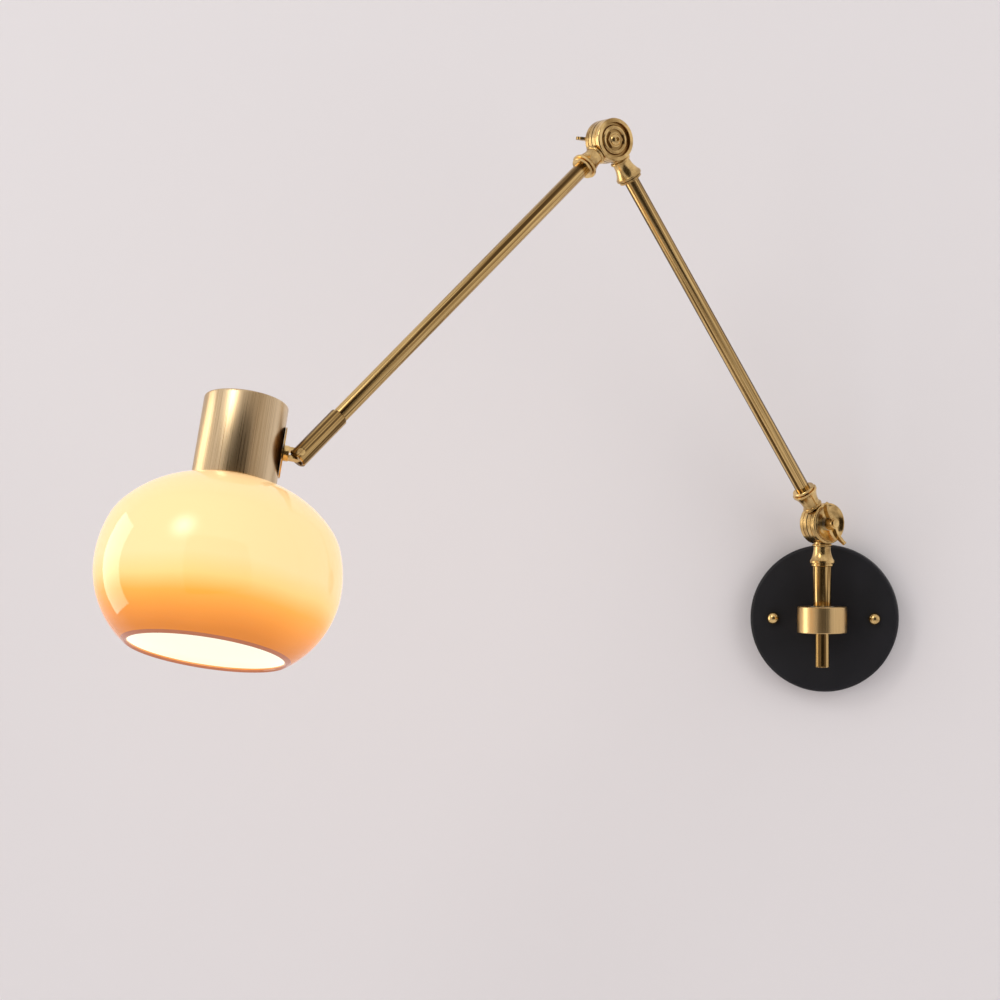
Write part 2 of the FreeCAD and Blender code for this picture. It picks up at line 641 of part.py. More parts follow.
# ---------------------------------------------------------------- arms


def arm_tube(start, end):
    return ring(TUBE_RADIUS, TUBE_RADIUS - TUBE_WALL, start, end)


def lead_bushes(start, end):
    outer = TUBE_RADIUS - TUBE_WALL - FIT
    inner = LEAD_RADIUS + FIT
    low = ring(outer, inner, start, start + LEAD_BUSH_LENGTH)
    high = ring(outer, inner, end - LEAD_BUSH_LENGTH, end)
    return [low, high]


# ---------------------------------------------------------------- turning sleeve and head knuckle


def turning_sleeve():
    """Local Z runs along arm 2 with the tilt pin at 0, and local X is the pin's axis."""
    radius = SLEEVE_RADIUS
    bevel = SLEEVE_BEVEL
    body = lathed((0, -SLEEVE_TOP), (radius - bevel, -SLEEVE_TOP), (radius, bevel - SLEEVE_TOP),
                  (radius, SLEEVE_PAST_PIN - bevel), (radius - bevel, SLEEVE_PAST_PIN), (0, SLEEVE_PAST_PIN))
    half = FORK_SLOT / 2
    back = TONGUE_RADIUS + GLASS_GAP
    fork = box(-half, half, -back, radius + 1, -FORK_SLOT_ABOVE, SLEEVE_PAST_PIN + 1)
    head_seat = radius - TILT_HEAD_SUNK - TILT_HEAD_THICK
    cuts = [rod(TUBE_RADIUS + FIT, -SLEEVE_TOP - 1, -SLEEVE_BORE_END), fork,
            rod(LEAD_BORE, -SLEEVE_BORE_END - 1, -FORK_SLOT_ABOVE + 1),
            laid_along_x(rod(TILT_PIN_RADIUS + FIT, -radius - 1, radius + 1)),
            laid_along_x(rod(TILT_HEAD_RADIUS + FIT, head_seat, radius + 1)),
            Part.makeCylinder(GRUB_RADIUS + FIT, radius + 1, V(0, 0, -GRUB_ABOVE_PIN), V(0, -1, 0))]
    return body.cut(cuts)


def sleeve_grub_screw():
    start = TUBE_RADIUS - TUBE_GROOVE_DEEP + 4 * FIT
    length = SLEEVE_RADIUS - start - 2 * FIT
    return Part.makeCylinder(GRUB_RADIUS, length, V(0, -start, -GRUB_ABOVE_PIN), V(0, -1, 0))


def tilt_pin():
    seat = SLEEVE_RADIUS - TILT_HEAD_SUNK - TILT_HEAD_THICK
    shank = rod(TILT_PIN_RADIUS, -SLEEVE_RADIUS + 2 * TILT_HEAD_SUNK, seat)
    head = rod(TILT_HEAD_RADIUS, seat, seat + TILT_HEAD_THICK)
    driver = box(-TILT_HEAD_RADIUS, TILT_HEAD_RADIUS, -TILT_SLOT / 2, TILT_SLOT / 2,
                 seat + TILT_HEAD_THICK - TILT_SLOT_DEEP, SLEEVE_RADIUS)
    return laid_along_x(shank.fuse(head).cut(driver))


def head_knuckle():
    """Flat tongue on the tilt pin, with a collar and a hollow stud; local Z is the stud's way."""
    half = TONGUE_THICK / 2
    root = laid_along_x(rod(TONGUE_RADIUS, -half, half))
    blade = box(-half, half, -TONGUE_RADIUS, TONGUE_RADIUS, 0, HEAD_COLLAR_START)
    collar = rod(HEAD_COLLAR_RADIUS, HEAD_COLLAR_START, PLATE_FRONT)
    stud = rod(HEAD_STUD_RADIUS, PLATE_FRONT, HEAD_STUD_END)
    window_low = HEAD_WINDOW_START
    window_high = HEAD_COLLAR_START - GLASS_GAP
    cuts = [laid_along_x(rod(TILT_PIN_RADIUS + FIT, -half - 1, half + 1)),
            rod(HEAD_STUD_BORE, window_low, HEAD_STUD_END + 1),
            box(-half - 1, half + 1, -HEAD_STUD_BORE, HEAD_STUD_BORE, window_low, window_high)]
    return root.fuse([blade, collar, stud]).cut(cuts).removeSplitter()


def side_plate():
    return ring(SIDE_PLATE_RADIUS, HEAD_STUD_RADIUS + FIT, PLATE_FRONT, PLATE_BACK)


def head_nut():
    """Nut inside the cup; its corners just clear the cup's curved wall."""
    corner = HEAD_NUT_FLATS / math.sqrt(3)
    inner = CUP_RADIUS - CUP_WALL
    low = CUP_FROM_PIN - math.sqrt(inner ** 2 - corner ** 2) + FIT
    high = low + HEAD_NUT_THICK
    return hexagon(HEAD_NUT_FLATS, low, high).cut(rod(HEAD_STUD_RADIUS + FIT, low - 1, high + 1))


# ---------------------------------------------------------------- cup and lampholder
# Local Z runs up the cup's axis, from its lower edge.


def cup():
    outer = CUP_RADIUS
    inner = outer - CUP_WALL
    top = CUP_HEIGHT
    edge = CUP_EDGE
    inner_edge = edge - CUP_WALL
    bend = math.sqrt(0.5)
    centre = (outer - edge, top - edge)
    outer_via = (centre[0] + edge * bend, centre[1] + edge * bend)
    inner_via = (centre[0] + inner_edge * bend, centre[1] + inner_edge * bend)
    shell = lathed((0, top - CUP_WALL), (centre[0], top - CUP_WALL), (inner_via, (inner, centre[1])),
                   (inner, 0), (outer, 0), (outer, centre[1]), (outer_via, (centre[0], top)), (0, top))
    stud_hole = Part.makeCylinder(HEAD_STUD_RADIUS + 2 * FIT, outer, V(0, 0, STUD_ABOVE_EDGE), V(-1, 0, 0))
    return shell.cut([rod(NIPPLE_RADIUS + 2 * FIT, 0, top + 1), stud_hole.translated(V(-outer / 2, 0, 0))])


def top_nipple():
    high = CUP_HEIGHT + TOP_WASHER_THICK + TOP_NUT_THICK - GLASS_GAP
    return ring(NIPPLE_RADIUS, NIPPLE_BORE, CUP_HEIGHT - TOP_NIPPLE_DOWN, high)


def top_nut():
    low = CUP_HEIGHT + TOP_WASHER_THICK
    washer = rod(TOP_WASHER_RADIUS, CUP_HEIGHT, low)
    high = low + TOP_NUT_THICK
    corner = TOP_NUT_FLATS / math.sqrt(3)
    chamfer = TOP_NUT_CHAMFER
    chamfered = lathed((0, low), (corner, low), (corner, high - chamfer), (corner - chamfer, high), (0, high))
    nut = hexagon(TOP_NUT_FLATS, low, high).common(chamfered)
    return washer.fuse(nut).cut(rod(NIPPLE_RADIUS + FIT, CUP_HEIGHT - 1, high + 1))


def holder_split():
    """Height where the lampholder's cap meets its body."""
    return CUP_HEIGHT - CUP_WALL - HOLDER_CAP_HEIGHT


def lampholder_cap():
    low = holder_split()
    top = CUP_HEIGHT - CUP_WALL
    wall = HOLDER_CAP_WALL
    shoulder = low + HOLDER_CAP_SHOULDER
    shell = lathed((0, top - wall), (HOLDER_CAP_TOP_RADIUS - wall, top - wall),
                   (HOLDER_RADIUS - wall, shoulder - wall), (HOLDER_RADIUS - wall, low),
                   (HOLDER_RADIUS, low), (HOLDER_RADIUS, shoulder), (HOLDER_CAP_TOP_RADIUS, top), (0, top))
    return shell.cut(rod(NIPPLE_RADIUS + FIT, low, top + 1))


def lampholder_body():
    """Body with the bulb's cavity below and a floor that carries the contacts."""
    high = holder_split()
    low = -HOLDER_BELOW_EDGE
    wall = HOLDER_CAP_WALL
    cavity = rod(HOLDER_CAVITY_RADIUS, low - 1, HOLDER_CAVITY_TOP)
    well = rod(HOLDER_RADIUS - 2 * wall, HOLDER_CAVITY_TOP + HOLDER_FLOOR, high + 1)
    return rod(HOLDER_RADIUS, low, high).cut([cavity, well])


def lamp_screw_shell():
    outer = HOLDER_CAVITY_RADIUS - FIT
    return ring(outer, outer - SHELL_WALL, SHELL_BOTTOM, HOLDER_CAVITY_TOP)


def lamp_centre_contact():
    return rod(CONTACT_RADIUS, HOLDER_CAVITY_TOP - CONTACT_HEIGHT, HOLDER_CAVITY_TOP)


# ---------------------------------------------------------------- glass shade and bulb


def shade_centres():
    """Centres of the outline's arcs, as (radius, height): body, shoulder, crown and lower."""
    equator = -SHADE_EQUATOR_BELOW
    body = (SHADE_RADIUS - SHADE_BODY_ARC, equator)
    first = math.radians(SHADE_BODY_TURN)
    step = SHADE_BODY_ARC - SHADE_SHOULDER_ARC
    shoulder = (body[0] + step * math.cos(first), body[1] + step * math.sin(first))
    second = math.radians(SHADE_SHOULDER_TURN)
    step = SHADE_SHOULDER_ARC - SHADE_CROWN_ARC
    crown = (shoulder[0] + step * math.cos(second), shoulder[1] + step * math.sin(second))
    lower = (SHADE_RADIUS - SHADE_LOWER_ARC, equator)
    return body, shoulder, crown, lower


def on_arc(centre, radius, angle):
    return (centre[0] + radius * math.cos(angle), centre[1] + radius * math.sin(angle))


def crown_height(radius, inset):
    """Height of the crown at a radius; inset is 0 on the outside and the glass wall on the inside."""
    crown = shade_centres()[2]
    return crown[1] + math.sqrt((SHADE_CROWN_ARC - inset) ** 2 - (radius - crown[0]) ** 2)


def shade_line(inset):
    """One side of the glass from the crown's hole to the mouth: its end points and arc midpoints."""
    body, shoulder, crown, lower = shade_centres()
    first = math.radians(SHADE_BODY_TURN)
    second = math.radians(SHADE_SHOULDER_TURN)
    crown_arc = SHADE_CROWN_ARC - inset
    hole = math.acos((HOLE_IN_CROWN - crown[0]) / crown_arc)
    mouth = -math.acos((SHADE_MOUTH_RADIUS - lower[0]) / SHADE_LOWER_ARC)
    spans = [(crown, crown_arc, hole, second), (shoulder, SHADE_SHOULDER_ARC - inset, second, first),
             (body, SHADE_BODY_ARC - inset, first, 0), (lower, SHADE_LOWER_ARC - inset, 0, mouth)]
    return [(on_arc(c, r, a), on_arc(c, r, (a + b) / 2), on_arc(c, r, b)) for c, r, a, b in spans]


def glass_shade():
    outside = shade_line(0)
    inside = shade_line(GLASS_WALL)
    lower = shade_centres()[3]
    mouth = -math.acos((SHADE_MOUTH_RADIUS - lower[0]) / SHADE_LOWER_ARC)
    lip_middle = on_arc(lower, SHADE_LOWER_ARC - GLASS_WALL / 2, mouth)
    lip = (lip_middle[0] + GLASS_WALL / 2 * math.sin(mouth), lip_middle[1] - GLASS_WALL / 2 * math.cos(mouth))
    steps = [(via, end) for start, via, end in outside]
    steps.append((lip, inside[-1][2]))
    steps.extend((via, start) for start, via, end in reversed(inside))
    return lathed(outside[0][0], *steps)


def shade_seat_ring():
    low = crown_height(HOLE_IN_CROWN, 0) + GLASS_GAP
    return ring(SEAT_RING_RADIUS, HOLDER_RADIUS + FIT, low, low + CLAMP_RING_THICK)


def shade_clamp_ring():
    high = crown_height(CLAMP_RING_RADIUS, GLASS_WALL) - GLASS_GAP
    return ring(CLAMP_RING_RADIUS, HOLDER_RADIUS + FIT, high - CLAMP_RING_THICK, high)


def bulb_cap():
    top = HOLDER_CAVITY_TOP - CONTACT_HEIGHT - GLASS_GAP
    shoulder = top - BULB_TIP_HEIGHT
    radius = BULB_CAP_RADIUS
    return lathed((0, -BULB_CAP_BOTTOM), (radius, -BULB_CAP_BOTTOM), (radius, shoulder - BULB_CAP_SLOPE),
                  (BULB_SHOULDER_RADIUS, shoulder), (BULB_TIP_RADIUS, shoulder), (BULB_TIP_END_RADIUS, top),
                  (0, top))


def bulb_form(inset):
    """The globe's solid of revolution, with its outline moved in by the inset."""
    radius = BULB_GLOBE_RADIUS - inset
    centre = BULB_GLOBE_RADIUS - BULB_END_BELOW
    neck = BULB_NECK_RADIUS - inset
    neck_end = -BULB_CAP_BOTTOM - BULB_NECK_LENGTH
    join = math.radians(BULB_FLARE_TURN)
    waist = on_arc((0, centre), radius, join)
    flare = ((neck + waist[0]) / 2 - BULB_FLARE_DEEP, (neck_end + waist[1]) / 2)
    start = inset - BULB_CAP_BOTTOM
    return lathed((0, start), (neck, start), (neck, neck_end), (flare, waist),
                  (on_arc((0, centre), radius, join / 2 - math.pi / 4), (0, centre - radius)))


def bulb_globe():
    mouth = rod(BULB_NECK_RADIUS - BULB_GLASS_WALL, -BULB_CAP_BOTTOM - BULB_NECK_LENGTH, 0)
    return bulb_form(0).cut([bulb_form(BULB_GLASS_WALL), mouth])


# ---------------------------------------------------------------- assembly


def save_wall_group():
    save("wall_bracket", from_wall(wall_bracket()))
    save("bracket_studs", *[from_wall(stud) for stud in bracket_studs()])
    save("dome_nuts", *[from_wall(nut) for nut in dome_nuts()])
    for make in (canopy, mounting_nipple, canopy_washer, canopy_nut, terminal_block, ground_screw):
        save(make.__name__, from_wall(make()))


def save_stem_group():
    save("hub_bushes", *[bush.translated(STEM_FOOT) for bush in hub_bushes()])
    for make in (hub_shell, hub_base, swivel_spindle, spindle_collar, stem_column, stem_lead):
        save(make.__name__, make().translated(STEM_FOOT))


def save_knuckle(name, pivot, cap_way, cap_neck, dish_neck, nut_turn):
    """One joint: its two halves, bolt, washers and wing nut; cap_way points out of the ringed face."""
    def on_bolt(shape):
        return stood(laid_along_x(shape), pivot, cap_neck, cap_way)

    save(name + "_cap_knuckle", stood(half_knuckle(ringed_face()), pivot, cap_neck, cap_way))
    save(name + "_dish_knuckle", stood(half_knuckle(dish_face()), pivot, dish_neck, -cap_way))
    save(name + "_pivot_bolt", on_bolt(pivot_bolt()))
    save(name + "_bolt_hex", on_bolt(bolt_hex()))
    save(name + "_friction_washer", on_bolt(friction_washer()))
    save(name + "_nut_washer", on_bolt(nut_washer()))
    nut = stood(wing_nut(), pivot - cap_way * NUT_FOOT, -cap_way, turned(UP, cap_way, nut_turn))
    save(name + "_wing_nut", nut)


def save_arms():
    def on_arm_1(shape):
        return stood(shape, LOWER_PIVOT, ARM_1_WAY, KNUCKLE_AXIS)

    def on_arm_2(shape):
        return stood(shape, ELBOW_PIVOT, ARM_2_WAY, KNUCKLE_AXIS)

    start = SOCKET_FLOOR + SEAT
    end = ARM_REACH - SOCKET_FLOOR - SEAT
    save("arm_1_tube", on_arm_1(arm_tube(start, end)))
    save("arm_1_lead", on_arm_1(rod(LEAD_RADIUS, LEAD_END, ARM_REACH - LEAD_END)))
    save("arm_1_lead_bushes", *[on_arm_1(bush) for bush in lead_bushes(start, end)])
    tube_end = ARM_REACH - SLEEVE_BORE_END - SEAT
    groove_at = ARM_REACH - GRUB_ABOVE_PIN
    groove = ring(SLEEVE_RADIUS, TUBE_RADIUS - TUBE_GROOVE_DEEP, groove_at - TUBE_GROOVE_WIDE / 2,
                  groove_at + TUBE_GROOVE_WIDE / 2)
    save("arm_2_tube", on_arm_2(arm_tube(start, tube_end).cut(groove)))
    save("arm_2_lead", on_arm_2(rod(LEAD_RADIUS, LEAD_END, tube_end)))
    save("arm_2_lead_bushes", *[on_arm_2(bush) for bush in lead_bushes(start, tube_end)])


def save_head():
    for make in (turning_sleeve, sleeve_grub_screw, tilt_pin):
        save(make.__name__, stood(make(), HEAD_PIVOT, ARM_2_WAY, PIN_WAY))
    for make in (head_knuckle, side_plate, head_nut):
        save(make.__name__, stood(make(), HEAD_PIVOT, STUD_WAY, PIN_WAY))
    for make in (cup, top_nipple, top_nut, lampholder_cap, lampholder_body, lamp_screw_shell,
                 lamp_centre_contact, shade_seat_ring, shade_clamp_ring, glass_shade, bulb_cap, bulb_globe):
        save(make.__name__, stood(make(), CUP_FOOT, CUP_UP, STUD_WAY))


def main():
    os.makedirs("parts", exist_ok=True)
    save_wall_group()
    save_stem_group()
    save_knuckle("lower", LOWER_PIVOT, -KNUCKLE_AXIS, ARM_1_WAY, -UP, LOWER_NUT_TURN)
    save_knuckle("elbow", ELBOW_PIVOT, KNUCKLE_AXIS, -ARM_1_WAY, ARM_2_WAY, ELBOW_NUT_TURN)
    save_arms()
    save_head()
    places = {"lower pivot": LOWER_PIVOT, "elbow pivot": ELBOW_PIVOT, "head pivot": HEAD_PIVOT,
              "knuckle axis": KNUCKLE_AXIS, "arm 1 way": ARM_1_WAY, "arm 2 way": ARM_2_WAY,
              "pin way": PIN_WAY, "stud way": STUD_WAY, "cup up": CUP_UP, "cup foot": CUP_FOOT}
    for name, place in places.items():
        print(f"{name:14s} {place.x:10.4f} {place.y:10.4f} {place.z:10.4f}")


main()
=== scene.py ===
# %% [markdown]
# # An accordion wall lamp, dressed in Blender
# The lamp hangs on a wall: a black round canopy, a brass hub and column, two hinged brass arms and a
# turning head with a brushed cup, an amber glass shade and a lit bulb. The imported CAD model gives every
# piece its place. This lesson loads it as a frame, builds the surfaces that show with bmesh operators, and
# gives each piece a node material that works from every side.

# %% Load the frame
import json
import math

import bmesh
import bpy
from mathutils import Matrix, Vector


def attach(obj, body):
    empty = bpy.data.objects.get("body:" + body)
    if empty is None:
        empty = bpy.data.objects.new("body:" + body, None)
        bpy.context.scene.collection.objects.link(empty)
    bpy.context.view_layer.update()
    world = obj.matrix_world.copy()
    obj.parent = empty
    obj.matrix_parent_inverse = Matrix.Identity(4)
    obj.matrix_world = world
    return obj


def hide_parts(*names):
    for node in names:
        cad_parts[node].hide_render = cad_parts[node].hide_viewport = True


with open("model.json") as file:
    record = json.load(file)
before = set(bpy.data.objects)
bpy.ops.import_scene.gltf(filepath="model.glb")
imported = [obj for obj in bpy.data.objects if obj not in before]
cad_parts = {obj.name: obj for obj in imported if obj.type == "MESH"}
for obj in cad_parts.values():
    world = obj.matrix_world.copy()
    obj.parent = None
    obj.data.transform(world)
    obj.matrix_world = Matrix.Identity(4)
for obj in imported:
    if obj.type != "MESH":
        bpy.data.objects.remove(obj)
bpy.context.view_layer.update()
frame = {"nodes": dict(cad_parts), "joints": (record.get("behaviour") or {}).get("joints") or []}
nodes = frame["nodes"]
print("nodes:", len(nodes))

# %% [markdown]
# ## Places
# The joints of the frame say where the lamp turns, so the places are read from them and not typed in again:
# the two knuckles, the tilt pin at the end of arm 2, and their axes. The cup's foot and the directions of its
# axis and of its stud belong to no joint, so they are given here, the foot in metres.

# %% Places and axes from the joints
MM = 0.001
UP = Vector((0, 0, 1))
joints = {joint["name"]: joint for joint in frame["joints"]}
stem_foot = Vector(joints["stem_swivel"]["pos_m"])
lower_pivot = Vector(joints["lower_tilt"]["pos_m"])
elbow_pivot = Vector(joints["elbow_fold"]["pos_m"])
head_pivot = Vector(joints["head_tilt"]["pos_m"])
knuckle_axis = Vector(joints["lower_tilt"]["axis"])
pin_way = Vector(joints["head_tilt"]["axis"])
arm_1_way = (elbow_pivot - lower_pivot).normalized()
arm_2_way = (head_pivot - elbow_pivot).normalized()
cup_up = Vector((0.0759, 0.2838, 0.9559)).normalized()
cup_foot = Vector((-0.38582, -0.39810, 0.10721))
stud_way = Vector((-0.9493, -0.2728, 0.1564)).normalized()
print("arm length:", round((elbow_pivot - lower_pivot).length, 4))


def place(at, z_way, x_way):
    """Matrix from a piece's own millimetres to the lamp's metres."""
    z = z_way.normalized()
    y = z.cross(x_way).normalized()
    x = y.cross(z)
    turn = Matrix((x, y, z)).transposed().to_4x4()
    return Matrix.Translation(at) @ turn @ Matrix.Scale(MM, 4)


WALL = place(Vector((0, 0, 0)), Vector((0, -1, 0)), Vector((1, 0, 0)))
STEM = place(stem_foot, UP, Vector((1, 0, 0)))
ARM_1 = place(lower_pivot, arm_1_way, knuckle_axis)
ARM_2 = place(elbow_pivot, arm_2_way, knuckle_axis)
SLEEVE = place(head_pivot, arm_2_way, pin_way)
CUP = place(cup_foot, cup_up, stud_way)
LOWER_BOLT = place(lower_pivot, -knuckle_axis, UP)
ELBOW_BOLT = place(elbow_pivot, knuckle_axis, UP)

# %% [markdown]
# ## Camera
# The photograph was taken from about two metres away with a long lens, level with the lamp and a little to
# its right. A long lens keeps the round canopy round. The camera's turn about the vertical is a yaw to the
# left, and its tilt is almost nothing.

# %% Camera
CAMERA_AT = Vector((0.109326, -2.019646, 0.088004))
CAMERA_YAW = math.radians(10.72)
CAMERA_PITCH = math.radians(0.25)
SENSOR = 36.0
FOCAL_PIXELS = 2430.0
IMAGE_PIXELS = 1000.0

camera_data = bpy.data.cameras.new("camera")
camera_data.sensor_width = SENSOR
camera_data.lens = SENSOR * FOCAL_PIXELS / IMAGE_PIXELS
camera = bpy.data.objects.new("camera", camera_data)
camera.location = CAMERA_AT
camera.rotation_euler = (math.radians(90) + CAMERA_PITCH, 0, CAMERA_YAW)
bpy.context.scene.collection.objects.link(camera)
bpy.context.scene.camera = camera
bpy.context.scene.view_settings.view_transform = "Standard"
print("lens:", round(camera_data.lens, 2), "mm")

# %% [markdown]
# ## Shader maths as Python
# A node tree for a material soon holds dozens of Math nodes. One small class stands for an output socket,
# and adds a Math node whenever Python adds, subtracts, multiplies or takes a power. One method makes every
# other node. The nodes could be made one by one, but this keeps a finish as readable as a formula.

# %% A socket that does sums
class Flow:
    """An output socket of a finish, for use in sums."""

    def __init__(self, finish, socket):
        self.finish = finish
        self.socket = socket

    def sum(self, operation, *values):
        return self.finish.node("ShaderNodeMath", {"operation": operation}, dict(enumerate(values)))

    def __add__(self, other):
        return self.sum("ADD", self, other)

    def __radd__(self, other):
        return self.sum("ADD", other, self)

    def __sub__(self, other):
        return self.sum("SUBTRACT", self, other)

    def __rsub__(self, other):
        return self.sum("SUBTRACT", other, self)

    def __mul__(self, other):
        return self.sum("MULTIPLY", self, other)

    def __rmul__(self, other):
        return self.sum("MULTIPLY", other, self)

    def __pow__(self, other):
        return self.sum("POWER", self, other)


# %% A finish: one material and its nodes
class Finish:
    """A material under construction."""

    def __init__(self, name):
        self.material = bpy.data.materials.new(name)
        self.material.use_nodes = True
        self.tree = self.material.node_tree
        self.tree.nodes.clear()

    def node(self, kind, settings=None, values=None, output=0):
        made = self.tree.nodes.new(kind)
        for key, setting in (settings or {}).items():
            if key == "stops":
                self.set_stops(made.color_ramp, setting)
            else:
                setattr(made, key, setting)
        for key, value in (values or {}).items():
            if isinstance(value, Flow):
                self.tree.links.new(value.socket, made.inputs[key])
            else:
                made.inputs[key].default_value = value
        return Flow(self, made.outputs[output]) if made.outputs else made

    def set_stops(self, ramp, stops):
        while len(ramp.elements) < len(stops):
            ramp.elements.new(1.0)
        for element, (position, colour) in zip(ramp.elements, stops):
            element.position = position
            element.color = (*colour, 1.0)

    def own_place(self, matrix):
        """Object coordinates turned into a piece's own frame, in metres."""
        coordinates = self.node("ShaderNodeTexCoord", output="Object")
        location, turn, _ = matrix.decompose()
        return self.node("ShaderNodeMapping", {"vector_type": "TEXTURE"},
                         {0: coordinates, 1: location, 2: turn.to_euler()})

    def axes(self, vector):
        split = self.node("ShaderNodeSeparateXYZ", values={0: vector})
        outputs = split.socket.node.outputs
        return [Flow(self, outputs[axis]) for axis in range(3)]

    def noise(self, vector, scale, detail=3.0, rough=0.55):
        """Soft noise with its own number of waves to the metre along each axis."""
        waves = self.node("ShaderNodeVectorMath", {"operation": "MULTIPLY"}, {0: vector, 1: scale})
        return self.node("ShaderNodeTexNoise", values={"Vector": waves, "Scale": 1.0, "Detail": detail,
                                                       "Roughness": rough})

    def ramp(self, factor, *stops):
        return self.node("ShaderNodeValToRGB", {"stops": stops}, {0: factor})

    def span(self, value, low, high, to_low=0.0, to_high=1.0):
        """Value from one range to another, held at its ends, with soft turns."""
        return self.node("ShaderNodeMapRange", {"interpolation_type": "SMOOTHSTEP"},
                         {0: value, 1: low, 2: high, 3: to_low, 4: to_high})

    def band(self, value, low, full, still_full, high):
        """One between the two middle places, and nothing past the outer two."""
        return self.span(value, low, full) * self.span(value, still_full, high, 1.0, 0.0)

    def blend(self, factor, first, second):
        colours = [c if isinstance(c, Flow) else (*c, 1.0) for c in (first, second)]
        return self.node("ShaderNodeMix", {"data_type": "RGBA"}, {0: factor, 6: colours[0], 7: colours[1]},
                         output=2)

    def bump(self, height, strength, distance):
        return self.node("ShaderNodeBump",
                         values={"Height": height, "Strength": strength, "Distance": distance})

    def surface(self, **values):
        """The Principled shader and the output; underscores in names stand for spaces."""
        inputs = {}
        for key, value in values.items():
            plain = isinstance(value, tuple) and len(value) == 3
            inputs[key.replace("_", " ")] = (*value, 1.0) if plain else value
        shader = self.node("ShaderNodeBsdfPrincipled", values=inputs)
        self.node("ShaderNodeOutputMaterial", values={0: shader})
        return self.material


# %% [markdown]
# ## Brass
# The lamp's brass is one alloy with four surfaces. The arms are polished along their length, which leaves
# long streak marks, and painted bright and dark reflection bands run with them along each tube. The knuckles
# are polished round their bolts, and their troughs are darker brown: partly aged where a cloth can't reach,
# partly painted shade in the recesses. The hub is satin, and the cup is brushed along its height and paler;
# both carry broad painted light and dark reflection bands. A picture of worn metal could do this, but noise
# that is stretched along a piece needs no picture, and fits any piece from every side.

# %% Polished brass with streak marks and painted reflections along an axis
# The brightest and darkest streak colours stand in for bright and dark reflections: painted reflection.
BRASS_BRIGHT = (0.86, 0.61, 0.26)
BRASS_MIDDLE = (0.36, 0.225, 0.08)
BRASS_REFLECTION_DARK = (0.10, 0.055, 0.017)
STREAK_REFLECTION_WAVES = (300.0, 300.0, 2.0)
FINE_LINES = (1500.0, 1500.0, 12.0)
FINE_SHARE = 0.18


def drawn_brass(name, matrix, depth=1.0):
    """Streak marks and painted bright and dark reflections along a piece's own Z; a smaller depth pulls them
    towards one middle brown.
    """
    finish = Finish(name)
    own = finish.own_place(matrix)
    # Painted reflection: this stretched noise lays bright and dark reflection bands into the base colour along
    # the piece.
    streaks_and_reflections = finish.noise(own, STREAK_REFLECTION_WAVES, detail=4.0, rough=0.6)
    fine = finish.noise(own, FINE_LINES, detail=2.0)
    tone = streaks_and_reflections + (fine - 0.5) * FINE_SHARE
    colour = finish.ramp(tone, (0.45, BRASS_REFLECTION_DARK), (0.50, BRASS_MIDDLE), (0.57, BRASS_BRIGHT),
                         (0.68, BRASS_MIDDLE))
    if depth < 1.0:
        colour = finish.blend(depth, BRASS_MIDDLE, colour)
    roughness = finish.span(fine, 0.2, 0.8, 0.15, 0.26)
    normal = finish.bump(fine, 0.06, 0.0004)
    return finish.surface(Base_Color=colour, Metallic=1.0, Roughness=roughness, Normal=normal)


polished_arm_1 = drawn_brass("polished_brass_arm_1", ARM_1)
polished_arm_2 = drawn_brass("polished_brass_arm_2", ARM_2)
polished_stem = drawn_brass("polished_brass_stem", STEM, depth=0.75)
polished_sleeve = drawn_brass("polished_brass_sleeve", SLEEVE, depth=0.8)
print("polished:", polished_arm_1.name, polished_arm_2.name, polished_stem.name, polished_sleeve.name)

# %% Turned brass for the knuckles and the small pieces
RINGS = (2400.0, 2400.0, 0.0)
PATCHES = (90.0, 90.0, 90.0)
OUTER_TROUGH = (0.0106, 0.0114, 0.0128, 0.0136)
INNER_TROUGH = (0.0050, 0.0058, 0.0076, 0.0084)
RINGED_FACE = (0.0052, 0.0060, 0.0080, 0.0088)


def turned_brass(name, matrix):
    """Polished all over, with faint rings round the bolt, and brown in the troughs: partly aged where the
    cloth can't reach, partly painted shade.
    """
    finish = Finish(name)
    own = finish.own_place(matrix)
    x, y, z = finish.axes(own)
    radius = (x * x + y * y) ** 0.5
    rings = finish.noise(finish.node("ShaderNodeCombineXYZ", values={0: radius, 1: z}), RINGS, detail=2.0)
    patches = finish.noise(own, PATCHES)
    tone = patches * 0.8 + rings * 0.2
    polished = finish.ramp(tone, (0.36, BRASS_MIDDLE), (0.60, BRASS_BRIGHT))
    # Painted shade with some ageing: the knuckle's troughs are pulled towards middle brown.
    troughs = finish.band(radius, *OUTER_TROUGH) + finish.band(radius, *INNER_TROUGH)
    tarnish_and_shade = troughs * finish.band(z, *RINGED_FACE) * 0.9
    colour = finish.blend(tarnish_and_shade, polished, BRASS_MIDDLE)
    roughness = finish.span(rings, 0.25, 0.75, 0.16, 0.27)
    normal = finish.bump(rings, 0.08, 0.0003)
    return finish.surface(Base_Color=colour, Metallic=1.0, Roughness=roughness, Normal=normal)


brass_lower = turned_brass("turned_brass_lower", LOWER_BOLT)
brass_elbow = turned_brass("turned_brass_elbow", ELBOW_BOLT)
brass_wall = turned_brass("turned_brass_wall", WALL)
brass_head = turned_brass("turned_brass_head", SLEEVE)
print("turned:", brass_lower.name, brass_elbow.name, brass_wall.name, brass_head.name)

# %% Satin and brushed brass, with painted reflection bands
# Broad light and dark bands round the hub and cup stand in for what satin metal reflects: painted reflection.
BROAD_REFLECTION_BANDS = (34.0, 34.0, 1.5)


